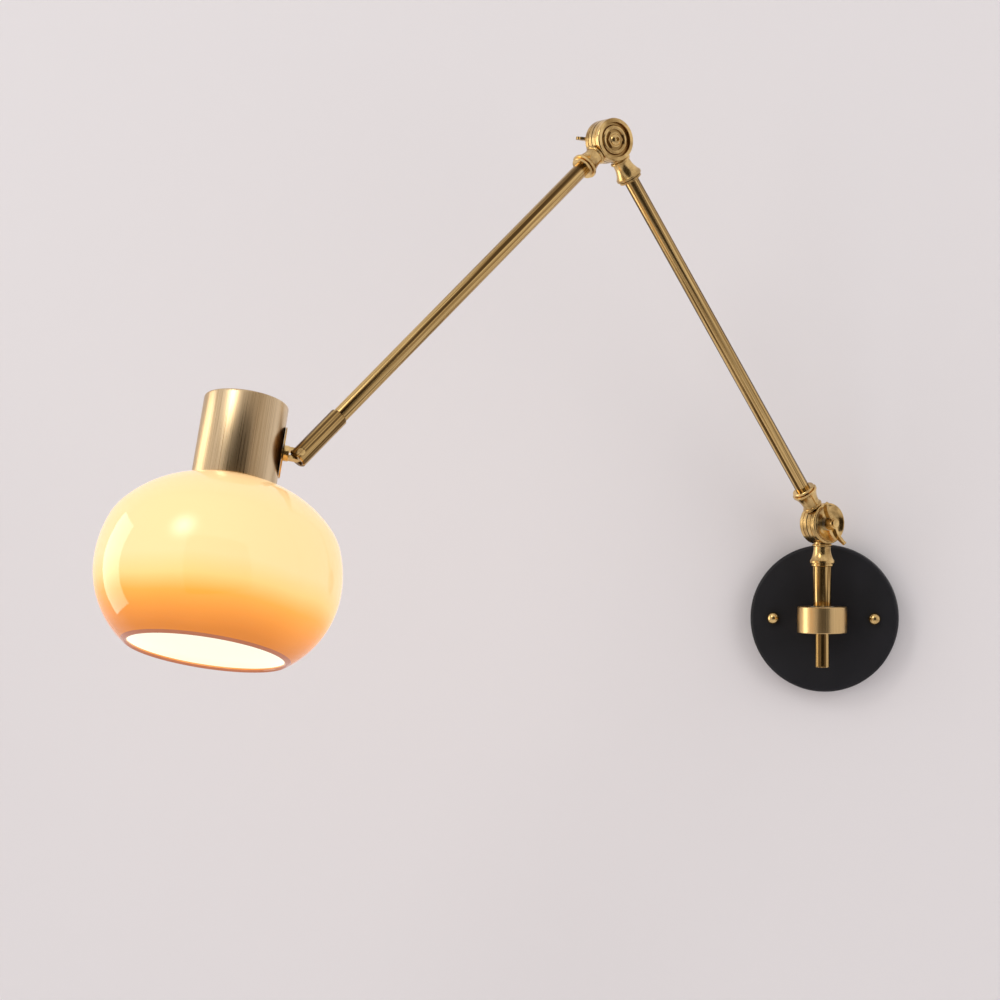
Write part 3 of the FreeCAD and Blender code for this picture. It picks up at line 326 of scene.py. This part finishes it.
def satin_brass(name, matrix, pale, middle, dark, lines):
    """Fine brushing along a piece's own Z, in lines too thin to see one by one, under broad light and dark
    bands that are painted reflections.
    """
    finish = Finish(name)
    own = finish.own_place(matrix)
    brushing = finish.noise(own, lines, detail=5.0, rough=0.7)
    # Painted reflection: these broad bands make most of the colour's light and dark.
    bands = finish.noise(own, BROAD_REFLECTION_BANDS, detail=1.0)
    tone = brushing * 0.35 + bands * 0.65
    colour = finish.ramp(tone, (0.34, dark), (0.47, middle), (0.60, pale))
    roughness = finish.span(brushing, 0.25, 0.75, 0.24, 0.38)
    normal = finish.bump(brushing, 0.10, 0.0002)
    return finish.surface(Base_Color=colour, Metallic=1.0, Roughness=roughness, Normal=normal)


satin_hub = satin_brass("satin_brass_hub", STEM, (0.80, 0.57, 0.27), (0.58, 0.38, 0.16), (0.26, 0.155, 0.055),
                        (2600.0, 2600.0, 12.0))
brushed_cup = satin_brass("brushed_brass_cup", CUP, (0.84, 0.67, 0.43), (0.52, 0.37, 0.20), (0.24, 0.15, 0.07),
                          (1800.0, 1800.0, 10.0))
print("brushed:", satin_hub.name, brushed_cup.name)

# %% [markdown]
# ## Paint, glass and light
# The canopy is powder coated: almost black, matt, with the fine orange-peel grain that powder leaves. The
# shade is cased opal glass, cream at the top and amber towards the mouth, lit from inside. Light inside
# opal glass comes out everywhere. A volume could scatter it, but that is slow and noisy, so the shader glows
# faintly in the glass's own colours and keeps a sharp gloss on top. The colour changes along the shade's own
# axis, so it turns with the head.

# %% Powder coat
POWDER_DARK = (0.008, 0.008, 0.010)
POWDER_LIGHT = (0.013, 0.013, 0.016)
powder = Finish("black_powder_coat")
powder_place = powder.own_place(WALL)
grain = powder.noise(powder_place, (1500.0, 1500.0, 1500.0), detail=2.0)
cloud = powder.noise(powder_place, (18.0, 18.0, 18.0), detail=2.0)
black_coat = powder.surface(Base_Color=powder.ramp(cloud, (0.3, POWDER_DARK), (0.7, POWDER_LIGHT)),
                            Roughness=powder.span(grain, 0.3, 0.7, 0.55, 0.68), Specular_IOR_Level=0.28,
                            Normal=powder.bump(grain, 0.25, 0.0002))
print("paint:", black_coat.name)

# %% Amber glass outside
GLASS_CREAM = (1.0, 0.67, 0.33)
GLASS_PALE = (1.0, 0.60, 0.23)
GLASS_ORANGE = (0.98, 0.40, 0.07)
GLASS_DEEP = (0.74, 0.24, 0.03)
MOUTH_HEIGHT = -0.1215
CROWN_HEIGHT = 0.0
DRIFT = 0.010


def down_the_shade(finish, height, stops):
    """Colour by height on the shade's axis: a stop's place is metres below the cup."""
    factor = finish.node("ShaderNodeMapRange", values={0: height, 1: MOUTH_HEIGHT, 2: CROWN_HEIGHT})
    places = [((at - MOUTH_HEIGHT) / (CROWN_HEIGHT - MOUTH_HEIGHT), colour) for at, colour in stops]
    return finish.ramp(factor, *places)


amber = Finish("amber_glass")
amber_place = amber.own_place(CUP)
_, _, amber_height = amber.axes(amber_place)
drift = amber.noise(amber_place, (14.0, 14.0, 14.0), detail=1.0)
wandering = amber_height + (drift - 0.5) * DRIFT
amber_colour = down_the_shade(amber, wandering, [
    (-0.116, GLASS_DEEP), (-0.096, GLASS_ORANGE), (-0.085, GLASS_PALE), (-0.072, GLASS_CREAM)])
amber_glow = down_the_shade(amber, wandering, [
    (-0.118, (0.20, 0.060, 0.005)), (-0.106, (0.32, 0.10, 0.008)), (-0.096, (0.42, 0.155, 0.018)),
    (-0.085, (0.42, 0.235, 0.065)), (-0.072, (0.38, 0.25, 0.11))])
amber_glass = amber.surface(Base_Color=amber_colour, Roughness=0.05, Emission_Color=amber_glow,
                            Emission_Strength=1.0)

rim = Finish("fire_polished_lip")
rim_mottle = rim.noise(rim.own_place(CUP), (60.0, 60.0, 60.0), detail=2.0)
rim_colour = rim.blend(rim_mottle, (0.34, 0.11, 0.05), (0.46, 0.17, 0.09))
lip_glass = rim.surface(Base_Color=rim_colour, Roughness=0.08, Emission_Color=(0.16, 0.05, 0.02),
                        Emission_Strength=1.0)
print("glass:", amber_glass.name, lip_glass.name)

# %% Lit inside of the shade, and the bulb
glow = Finish("lit_opal_inside")
_, _, glow_height = glow.axes(glow.own_place(CUP))
glow_colour = down_the_shade(glow, glow_height, [(-0.121, (0.98, 0.86, 0.62)), (-0.112, (1.0, 0.96, 0.76)),
                                                (-0.03, (1.0, 0.98, 0.84))])
lit_inside = glow.surface(Base_Color=(0.22, 0.21, 0.17), Roughness=0.3, Emission_Color=glow_colour,
                          Emission_Strength=0.80)

frosted = Finish("frosted_bulb")
frost = frosted.noise(frosted.own_place(CUP), (300.0, 300.0, 300.0), detail=2.0)
lit_bulb = frosted.surface(Base_Color=(0.95, 0.93, 0.88), Roughness=frosted.span(frost, 0.3, 0.7, 0.3, 0.45),
                           Emission_Color=(1.0, 0.93, 0.76), Emission_Strength=3.0)
print("lit:", lit_inside.name, lit_bulb.name)


# %% Plain small finishes
def small_finish(name, colour, rough, metallic=0.0, grain=400.0, vary=0.15):
    """One colour with a slow mottle and an uneven gloss, for pieces inside the lamp."""
    finish = Finish(name)
    coordinates = finish.node("ShaderNodeTexCoord", output="Object")
    mottle = finish.noise(coordinates, (grain, grain, grain))
    darker = tuple(channel * (1 - vary) for channel in colour)
    return finish.surface(Base_Color=finish.blend(mottle, darker, colour), Metallic=metallic,
                          Roughness=finish.span(mottle, 0.3, 0.7, rough * 0.85, rough * 1.15),
                          Normal=finish.bump(mottle, 0.08, 0.0002))


zinc = small_finish("zinc_plate", (0.62, 0.63, 0.65), 0.38, 1.0)
nickel = small_finish("nickel_plate", (0.78, 0.77, 0.75), 0.22, 1.0)
contact = small_finish("bare_contact_brass", (0.78, 0.58, 0.28), 0.3, 1.0)
white_plastic = small_finish("white_moulded", (0.83, 0.82, 0.78), 0.45)
black_plastic = small_finish("black_moulded", (0.03, 0.03, 0.032), 0.42)
nylon = small_finish("nylon_bush", (0.70, 0.67, 0.60), 0.5)
jacket = small_finish("lead_jacket", (0.07, 0.07, 0.075), 0.5)
fibre = small_finish("dark_fibre", (0.075, 0.055, 0.045), 0.8, grain=1500.0, vary=0.4)
print("finishes:", len(bpy.data.materials))

# %% [markdown]
# ## Turning pieces on a lathe
# Nearly everything on this lamp was turned, so nearly everything is made the same way: a line of points for
# half the outline, spun about the axis. Straight runs are extruded from the last point. Round runs are made
# by spinning that point about the arc's centre, so no list of points is worked out by hand. Sharp rings
# then get a small bevel, because real metal has no razor edge and a bevel catches the light.

# %% The lathe
SMOOTH_BELOW = math.radians(32)
SEGMENTS, NUT_SEGMENTS, TUBE_SEGMENTS, WIDE_SEGMENTS, SHADE_SEGMENTS = 96, 48, 64, 128, 144
EDGE_BEVEL = 0.2


class Lathe:
    """Half an outline in the XZ plane, in millimetres, turned about Z."""

    def __init__(self, radius, height):
        self.mesh = bmesh.new()
        self.last = self.mesh.verts.new((radius, 0, height))

    def to(self, radius, height):
        made = bmesh.ops.extrude_vert_indiv(self.mesh, verts=[self.last])
        self.last = made["verts"][0]
        self.last.co = (radius, 0, height)
        return self

    def arc(self, centre_radius, centre_height, degrees, steps=6):
        """Turns the last point about a centre; positive degrees go from height towards radius."""
        made = bmesh.ops.spin(self.mesh, geom=[self.last], cent=(centre_radius, 0, centre_height),
                              axis=(0, 1, 0), angle=math.radians(degrees), steps=steps, use_duplicate=False)
        self.last = next(part for part in made["geom_last"] if isinstance(part, bmesh.types.BMVert))
        return self

    def turn(self, bevel=0.0, segments=SEGMENTS):
        bm = self.mesh
        bmesh.ops.spin(bm, geom=bm.verts[:] + bm.edges[:], cent=(0, 0, 0), axis=(0, 0, 1),
                       angle=math.tau, steps=segments, use_merge=True, use_duplicate=False)
        bmesh.ops.remove_doubles(bm, verts=bm.verts, dist=1e-4)
        bmesh.ops.recalc_face_normals(bm, faces=bm.faces)
        if bevel:
            sharp = [edge for edge in bm.edges if edge.is_manifold and edge.calc_face_angle() > SMOOTH_BELOW]
            bmesh.ops.bevel(bm, geom=sharp, offset=bevel, offset_type="OFFSET", affect="EDGES", segments=2,
                            profile=0.5, material=-1, clamp_overlap=True)
        return bm


# %% From a mesh to a finished piece
def object_from(name, bm, materials):
    """Makes an object from a bmesh, which is freed."""
    data = bpy.data.meshes.new(name)
    bm.to_mesh(data)
    bm.free()
    for material in materials:
        data.materials.append(material)
    made = bpy.data.objects.new(name, data)
    bpy.context.scene.collection.objects.link(made)
    return made


def finished(name, bm, matrix, body, materials, replaced):
    """Moves a mesh to its place and hands the piece to its body."""
    bmesh.ops.transform(bm, matrix=matrix, verts=bm.verts)
    for face in bm.faces:
        face.smooth = True
    for edge in bm.edges:
        edge.smooth = not (edge.is_manifold and edge.calc_face_angle() > SMOOTH_BELOW)
    piece = object_from(name, bm, materials)
    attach(piece, body)
    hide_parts(replaced)
    print(f"{name}: {len(piece.data.polygons)} faces on {body}")


# %% [markdown]
# ## The glass shade
# The shade is blown glass, 3 mm thick: a squashed globe with a wide shoulder, a hole at the crown for the
# lampholder and an open mouth. A squashed sphere would be quicker, but wouldn't keep the measured outline, so
# four arcs make the outside, and the same four, 3 mm closer in, make the inside. The lip is fire-polished, so
# the two sides meet in a half circle.

# %% Shade
GLASS_WALL = 3.0
BODY_ARC, BODY_TURN = 80.0, 20.0
SHOULDER_ARC, SHOULDER_TURN = 39.0, 40.0
CROWN_ARC = 79.5
LOWER_ARC = 67.0
EQUATOR_RADIUS, EQUATOR_HEIGHT = 85.4, -66.1
MOUTH_RADIUS = 56.3
CROWN_HOLE = 20.0
INSIDE_END, LIP_START = -118.9, -120.1
SIDE_SHARE = 0.4
CROWN_STEPS, SHOULDER_STEPS, BODY_STEPS, LOWER_STEPS, LIP_STEPS = 20, 10, 14, 24, 8


def stepped(centre, radius, degrees):
    """The point of an arc at an angle above level."""
    angle = math.radians(degrees)
    return centre[0] + radius * math.cos(angle), centre[1] + radius * math.sin(angle)


body_centre = (EQUATOR_RADIUS - BODY_ARC, EQUATOR_HEIGHT)
shoulder_centre = stepped(body_centre, BODY_ARC - SHOULDER_ARC, BODY_TURN)
crown_centre = stepped(shoulder_centre, SHOULDER_ARC - CROWN_ARC, SHOULDER_TURN)
lower_centre = (EQUATOR_RADIUS - LOWER_ARC, EQUATOR_HEIGHT)
crown_start = math.degrees(math.acos((CROWN_HOLE - crown_centre[0]) / CROWN_ARC))
mouth_turn = math.degrees(math.acos((MOUTH_RADIUS - lower_centre[0]) / LOWER_ARC))

shade = Lathe(*stepped(crown_centre, CROWN_ARC, crown_start))
down = [(crown_centre, crown_start - SHOULDER_TURN, CROWN_STEPS),
        (shoulder_centre, SHOULDER_TURN - BODY_TURN, SHOULDER_STEPS),
        (body_centre, BODY_TURN, BODY_STEPS), (lower_centre, mouth_turn, LOWER_STEPS)]
for centre, degrees, steps in down:
    shade.arc(*centre, degrees, steps)
shade.arc(*stepped(lower_centre, LOWER_ARC - GLASS_WALL / 2, -mouth_turn), 180, LIP_STEPS)
for centre, degrees, steps in reversed(down):
    shade.arc(*centre, -degrees, steps)
shade.to(*stepped(crown_centre, CROWN_ARC, crown_start))

# %% Outside, inside and lip of the shade
AMBER_SLOT, INSIDE_SLOT, LIP_SLOT = 0, 1, 2
shade_mesh = shade.turn(segments=SHADE_SEGMENTS)
for face in shade_mesh.faces:
    centre = face.calc_center_median()
    outwards = Vector((centre.x, centre.y, 0)).normalized() * SIDE_SHARE
    outwards.z = 1.0 if centre.z > EQUATOR_HEIGHT else -1.0
    face.material_index = AMBER_SLOT
    if centre.z < LIP_START:
        face.material_index = LIP_SLOT
    elif centre.z > INSIDE_END and face.normal.dot(outwards) < 0:
        face.material_index = INSIDE_SLOT
finished("shade", shade_mesh, CUP, "head", [amber_glass, lit_inside, lip_glass], "glass_shade")

# %% [markdown]
# ## The cup and what sits on it
# The cup is a spun brass can, open below. Its top edge is rounded, and its lower edge is turned square. A
# cylinder with a Solidify modifier would give its wall, but not the rounded top and square foot at their own
# sizes, so the lathe turns both sides at once. A small nut closes the top and keeps its plated CAD shape.

# %% Cup
CUP_RADIUS, CUP_HEIGHT, CUP_WALL, CUP_EDGE, CUP_HOLE = 29.75, 59.5, 1.2, 1.6, 5.1
cup_inner = CUP_RADIUS - CUP_WALL
cup_bend = CUP_RADIUS - CUP_EDGE
cup = Lathe(CUP_HOLE, CUP_HEIGHT)
cup.to(cup_bend, CUP_HEIGHT).arc(cup_bend, CUP_HEIGHT - CUP_EDGE, 90, 5)
cup.to(CUP_RADIUS, 0).to(cup_inner, 0).to(cup_inner, CUP_HEIGHT - CUP_WALL)
cup.to(CUP_HOLE, CUP_HEIGHT - CUP_WALL).to(CUP_HOLE, CUP_HEIGHT)
finished("cup_spun", cup.turn(bevel=EDGE_BEVEL), CUP, "head", [brushed_cup], "cup")

# %% [markdown]
# ## Canopy, nuts and hub
# The canopy is a shallow pressed pan. Two ball-like brass nuts hold it on the bracket's studs. The hub is a
# drum whose boss takes the nipple from the wall. Their CAD solids have the same sizes and could stay. They
# are turned again with more segments, because a round edge shows its facets against a plain wall.

# %% Canopy
CANOPY_RADIUS, CANOPY_DEPTH, CANOPY_WALL, CANOPY_EDGE, CANOPY_HOLE = 60.0, 22.0, 1.5, 3.0, 5.1
canopy_bend, canopy_inner = CANOPY_RADIUS - CANOPY_EDGE, CANOPY_RADIUS - CANOPY_WALL
bend_height = CANOPY_DEPTH - CANOPY_EDGE
pan = Lathe(CANOPY_HOLE, CANOPY_DEPTH)
pan.to(canopy_bend, CANOPY_DEPTH).arc(canopy_bend, bend_height, 90, 8)
pan.to(CANOPY_RADIUS, 0).to(canopy_inner, 0).to(canopy_inner, bend_height)
pan.arc(canopy_bend, bend_height, -90, 6).to(CANOPY_HOLE, CANOPY_DEPTH - CANOPY_WALL)
pan_mesh = pan.to(CANOPY_HOLE, CANOPY_DEPTH).turn(bevel=EDGE_BEVEL, segments=WIDE_SEGMENTS)
finished("canopy_pan", pan_mesh, WALL, "wall_base", [black_coat], "canopy")


# %% Joining two turned meshes into one piece
def join(bm, other):
    """Adds a mesh to another and frees it."""
    holder = bpy.data.meshes.new("holder")
    other.to_mesh(holder)
    other.free()
    bm.from_mesh(holder)
    bpy.data.meshes.remove(holder)


# %% Dome nuts
NUT_RADIUS, NUT_SKIRT, NUT_CHAMFER, STUD_OFFSET = 5.0, 1.4, 0.4, 41.0
both_nuts = bmesh.new()
for side in (-1, 1):
    nut = Lathe(0, CANOPY_DEPTH).to(NUT_RADIUS - NUT_CHAMFER, CANOPY_DEPTH)
    nut.to(NUT_RADIUS, CANOPY_DEPTH + NUT_CHAMFER).to(NUT_RADIUS, CANOPY_DEPTH + NUT_SKIRT)
    nut.arc(0, CANOPY_DEPTH + NUT_SKIRT, -90, 12)
    turned = nut.turn(segments=NUT_SEGMENTS)
    bmesh.ops.translate(turned, verts=turned.verts, vec=(side * STUD_OFFSET, 0, 0))
    join(both_nuts, turned)
finished("dome_nut_pair", both_nuts, WALL, "wall_base", [brass_wall], "dome_nuts")

# %% Hub drum
HUB_RADIUS, HUB_HALF, HUB_EDGE, HUB_WALL = 20.0, 10.5, 0.5, 2.5
BOSS_RADIUS, BOSS_START, BOSS_END, NIPPLE_HOLE = 10.0, 17.4, 23.2, 5.05
BUSH_HOLE, FLANGE_HOLE, FLANGE_DEEP, CHAMBER_TOP = 8.05, 9.55, 1.0, 4.5
drum = Lathe(FLANGE_HOLE, HUB_HALF)
drum.to(HUB_RADIUS - HUB_EDGE, HUB_HALF).to(HUB_RADIUS, HUB_HALF - HUB_EDGE)
drum.to(HUB_RADIUS, HUB_EDGE - HUB_HALF)
drum.to(HUB_RADIUS - HUB_EDGE, -HUB_HALF).to(HUB_RADIUS - HUB_WALL, -HUB_HALF)
drum.to(HUB_RADIUS - HUB_WALL, CHAMBER_TOP).to(BUSH_HOLE, CHAMBER_TOP).to(BUSH_HOLE, HUB_HALF - FLANGE_DEEP)
drum.to(FLANGE_HOLE, HUB_HALF - FLANGE_DEEP).to(FLANGE_HOLE, HUB_HALF)
drum_mesh = drum.turn(segments=WIDE_SEGMENTS)
boss = Lathe(NIPPLE_HOLE, BOSS_START).to(BOSS_RADIUS, BOSS_START).to(BOSS_RADIUS, BOSS_END)
boss_mesh = boss.to(NIPPLE_HOLE, BOSS_END).to(NIPPLE_HOLE, BOSS_START).turn(segments=TUBE_SEGMENTS)
bmesh.ops.rotate(boss_mesh, verts=boss_mesh.verts, matrix=Matrix.Rotation(math.radians(-90), 3, "X"))
join(drum_mesh, boss_mesh)
finished("hub_drum", drum_mesh, STEM, "wall_base", [satin_hub], "hub_shell")

# %% Stem column
COLUMN_BOTTOM, COLUMN_SHOULDER, COLUMN_TOP = 10.6, 43.2, 55.1
COLUMN_LOW, COLUMN_HIGH, SPIGOT, LEAD_BORE = 7.15, 7.75, 5.75, 3.2
SPINDLE_HOLE, GRIP = 5.85, 21.65
column = Lathe(SPINDLE_HOLE, COLUMN_BOTTOM).to(COLUMN_LOW, COLUMN_BOTTOM).to(COLUMN_HIGH, COLUMN_SHOULDER)
column.to(SPIGOT, COLUMN_SHOULDER).to(SPIGOT, COLUMN_TOP).to(LEAD_BORE, COLUMN_TOP).to(LEAD_BORE, GRIP)
column_mesh = column.to(SPINDLE_HOLE, GRIP).to(SPINDLE_HOLE, COLUMN_BOTTOM).turn(bevel=EDGE_BEVEL)
finished("column_turned", column_mesh, STEM, "stem", [polished_stem], "stem_column")

# %% [markdown]
# ## Arm tubes
# Each arm is a plain drawn tube, the second with a groove for the sleeve's grub screw, and the CAD solids are
# right. They could stay, but they are turned again here with more segments, because a long thin tube shows
# every facet in its highlight.

# %% Arm tubes
TUBE_RADIUS, TUBE_BORE = 5.75, 4.25
SOCKET_FLOOR, ARM_REACH = 22.6, 360.0
ARM_1_END = ARM_REACH - SOCKET_FLOOR
arm_1 = Lathe(TUBE_BORE, SOCKET_FLOOR).to(TUBE_RADIUS, SOCKET_FLOOR).to(TUBE_RADIUS, ARM_1_END)
arm_1.to(TUBE_BORE, ARM_1_END).to(TUBE_BORE, SOCKET_FLOOR)
arm_1_mesh = arm_1.turn(bevel=EDGE_BEVEL, segments=TUBE_SEGMENTS)
finished("arm_1_drawn", arm_1_mesh, ARM_1, "arm_1", [polished_arm_1], "arm_1_tube")

ARM_2_END, GROOVE_AT, GROOVE_HALF, GROOVE_RADIUS = 343.9, 330.0, 1.7, 4.85
arm_2 = Lathe(TUBE_BORE, SOCKET_FLOOR).to(TUBE_RADIUS, SOCKET_FLOOR).to(TUBE_RADIUS, GROOVE_AT - GROOVE_HALF)
arm_2.to(GROOVE_RADIUS, GROOVE_AT - GROOVE_HALF).to(GROOVE_RADIUS, GROOVE_AT + GROOVE_HALF)
arm_2.to(TUBE_RADIUS, GROOVE_AT + GROOVE_HALF).to(TUBE_RADIUS, ARM_2_END).to(TUBE_BORE, ARM_2_END)
arm_2_mesh = arm_2.to(TUBE_BORE, SOCKET_FLOOR).turn(bevel=EDGE_BEVEL, segments=TUBE_SEGMENTS)
finished("arm_2_drawn", arm_2_mesh, ARM_2, "arm_2", [polished_arm_2], "arm_2_tube")

# %% [markdown]
# ## Finishes for the pieces that keep their CAD shape
# The knuckles, bolts, nuts and everything inside stay as the frame has them. Each gets its finish in its
# material slots, and its mesh is never touched.

# %% Finishes by node
KEPT = {
    zinc: ["wall_bracket", "bracket_studs", "canopy_washer", "canopy_nut", "mounting_nipple", "ground_screw",
           "spindle_collar", "head_nut", "lower_nut_washer", "elbow_nut_washer"],
    nickel: ["top_nut", "top_nipple", "bulb_cap"],
    contact: ["lamp_screw_shell", "lamp_centre_contact"],
    white_plastic: ["terminal_block"],
    black_plastic: ["lampholder_cap", "lampholder_body", "shade_seat_ring", "shade_clamp_ring"],
    nylon: ["hub_bushes", "arm_1_lead_bushes", "arm_2_lead_bushes"],
    jacket: ["stem_lead", "arm_1_lead", "arm_2_lead"],
    fibre: ["lower_friction_washer", "elbow_friction_washer"],
    satin_hub: ["hub_base"],
    polished_stem: ["swivel_spindle"],
    brass_lower: ["lower_cap_knuckle", "lower_dish_knuckle", "lower_pivot_bolt", "lower_bolt_hex",
                  "lower_wing_nut"],
    brass_elbow: ["elbow_cap_knuckle", "elbow_dish_knuckle", "elbow_pivot_bolt", "elbow_bolt_hex",
                  "elbow_wing_nut"],
    polished_sleeve: ["turning_sleeve"],
    brass_head: ["tilt_pin", "sleeve_grub_screw", "head_knuckle", "side_plate"],
    lit_bulb: ["bulb_globe"],
}
for material, names in KEPT.items():
    for name in names:
        data = nodes[name].data
        data.materials.clear()
        data.materials.append(material)
dressed = {name for names in KEPT.values() for name in names}
print("kept nodes with a finish:", len(dressed), "left:", sorted(set(nodes) - dressed))

# %% [markdown]
# ## Room and light
# A wall lamp is seen against a wall, so the backdrop is one: a pale disc with a round hole behind the
# canopy, as over an outlet box. Its back lets the camera through, so the lamp can be looked at from behind.
# Large soft lamps stand left and right of the camera and light the lamp evenly, and a small round one above
# adds a little. A picture of a studio could light it too, but this needs no file. Reflections leave the lamps
# out, so polished metal shows the pale room and the cards below instead. The world is a little darker as a
# light than as the camera, reflections and clear surfaces see it.

# %% Backdrop wall and floor
WALL_COLOUR = (0.84, 0.805, 0.81)
WALL_HOLE, WALL_TIMES = 58.6, 60.0
FLOOR_SIZE, FLOOR_AT = 12.0, (0, -2.0, -1.5)
paint = Finish("wall_paint")
one_sided = paint.node("ShaderNodeNewGeometry", output="Backfacing")
plaster = paint.node("ShaderNodeBsdfDiffuse", values={0: (*WALL_COLOUR, 1.0)})
see_through = paint.node("ShaderNodeBsdfTransparent")
paint.node("ShaderNodeOutputMaterial",
           values={0: paint.node("ShaderNodeMixShader", values={0: one_sided, 1: plaster, 2: see_through})})

wall_mesh = bmesh.new()
bmesh.ops.create_circle(wall_mesh, segments=SEGMENTS, radius=WALL_HOLE)
outer = bmesh.ops.extrude_edge_only(wall_mesh, edges=wall_mesh.edges[:])
outer_points = [part for part in outer["geom"] if isinstance(part, bmesh.types.BMVert)]
bmesh.ops.scale(wall_mesh, vec=(WALL_TIMES, WALL_TIMES, 1), verts=outer_points)
bmesh.ops.recalc_face_normals(wall_mesh, faces=wall_mesh.faces)
if sum(face.normal.z for face in wall_mesh.faces) < 0:
    bmesh.ops.reverse_faces(wall_mesh, faces=wall_mesh.faces)
bmesh.ops.transform(wall_mesh, matrix=WALL, verts=wall_mesh.verts)
floor_mesh = bmesh.new()
bmesh.ops.create_grid(floor_mesh, x_segments=1, y_segments=1, size=FLOOR_SIZE)
bmesh.ops.translate(floor_mesh, verts=floor_mesh.verts, vec=FLOOR_AT)
for name, bm in (("backdrop_wall", wall_mesh), ("floor", floor_mesh)):
    stage_piece = object_from(name, bm, [paint.material])
    print("stage:", name)

# %% World
BACKGROUND = (0.76, 0.715, 0.715)
FILL = (0.60, 0.59, 0.59)
world = bpy.data.worlds.new("studio")
world.use_nodes = True
tree = world.node_tree
tree.nodes.clear()


def either(first, second):
    made = tree.nodes.new("ShaderNodeMath")
    made.operation = "MAXIMUM"
    tree.links.new(first, made.inputs[0])
    tree.links.new(second, made.inputs[1])
    return made.outputs[0]


rays = tree.nodes.new("ShaderNodeLightPath").outputs
seen = either(either(rays["Is Camera Ray"], rays["Is Glossy Ray"]), rays["Is Transmission Ray"])
mixed = tree.nodes.new("ShaderNodeMix")
mixed.data_type = "RGBA"
mixed.inputs[6].default_value = (*FILL, 1.0)
mixed.inputs[7].default_value = (*BACKGROUND, 1.0)
tree.links.new(seen, mixed.inputs[0])
background = tree.nodes.new("ShaderNodeBackground")
tree.links.new(mixed.outputs[2], background.inputs[0])
tree.links.new(background.outputs[0], tree.nodes.new("ShaderNodeOutputWorld").inputs[0])
bpy.context.scene.world = world
print("world:", world.name, "seen", BACKGROUND, "light", FILL)

# %% Lamps
LOOK_AT = Vector((-0.2, -0.2, 0.12))


def soft_lamp(name, at, size, watts, shape="RECTANGLE"):
    data = bpy.data.lights.new(name, "AREA")
    data.shape = shape
    data.size, data.size_y = size
    data.energy = watts
    lamp = bpy.data.objects.new(name, data)
    lamp.location = at
    lamp.rotation_euler = (LOOK_AT - Vector(at)).to_track_quat("-Z", "Y").to_euler()
    lamp.visible_glossy = False
    bpy.context.scene.collection.objects.link(lamp)
    print("lamp:", name, watts, "W")


soft_lamp("left_softbox", (-2.1, -1.9, 0.6), (1.7, 2.4), 17.0)
soft_lamp("right_softbox", (1.9, -1.9, 0.5), (1.7, 2.4), 17.0)
soft_lamp("top_lamp", (-0.83, -1.46, 1.2), (0.5, 0.5), 2.0, shape="DISK")

# %% [markdown]
# ## What the metal and the glass reflect
# Polished surfaces show the room, so the room needs something in it. A dark card behind the camera gives the
# brass its dark middle band. A tall pale window at the far left gives the glass its bright edge. A round
# glow high on the left gives the soft spot on the shade. Only reflections see these three, so they put no
# light on the lamp.

# %% Cards that only reflections see
def card(name, at, half_sizes, facing, colour, strength, soft=False):
    """A flat card; a soft one fades from its middle to nothing at its edge."""
    finish = Finish(name)
    own = finish.node("ShaderNodeTexCoord", output="Object")
    x, y, _ = finish.axes(own)
    from_middle = (x * x + y * y) ** 0.5
    glow = finish.node("ShaderNodeEmission", values={0: (*colour, 1.0), 1: strength})
    clear = finish.node("ShaderNodeBsdfTransparent")
    fade = finish.span(from_middle, 0.0, 1.0, 1.0, 0.0)
    shown = fade * fade if soft else 1.0
    finish.node("ShaderNodeOutputMaterial",
                values={0: finish.node("ShaderNodeMixShader", values={0: shown, 1: clear, 2: glow})})
    bm = bmesh.new()
    bmesh.ops.create_grid(bm, x_segments=1, y_segments=1, size=1.0)
    made = object_from(name, bm, [finish.material])
    made.location = at
    made.scale = (*half_sizes, 1.0)
    made.rotation_euler = (Vector(facing) - Vector(at)).to_track_quat("Z", "Y").to_euler()
    for kind in ("camera", "diffuse", "shadow", "transmission"):
        setattr(made, f"visible_{kind}", False)
    print("card:", name)


card("dark_card", (0.75, -3.4, 0.1), (1.95, 2.2), (0.75, 0.0, 0.1), (0.05, 0.042, 0.035), 1.0)
card("window_card", (-1.45, -0.30, 0.08), (0.27, 0.58), (-0.40, -0.30, 0.05), (1.0, 0.93, 0.82), 3.6)
card("soft_card", (-0.86, -1.50, 1.2), (0.62, 0.62), (-0.40, -0.42, 0.05), (1.0, 0.95, 0.86), 9.0, soft=True)
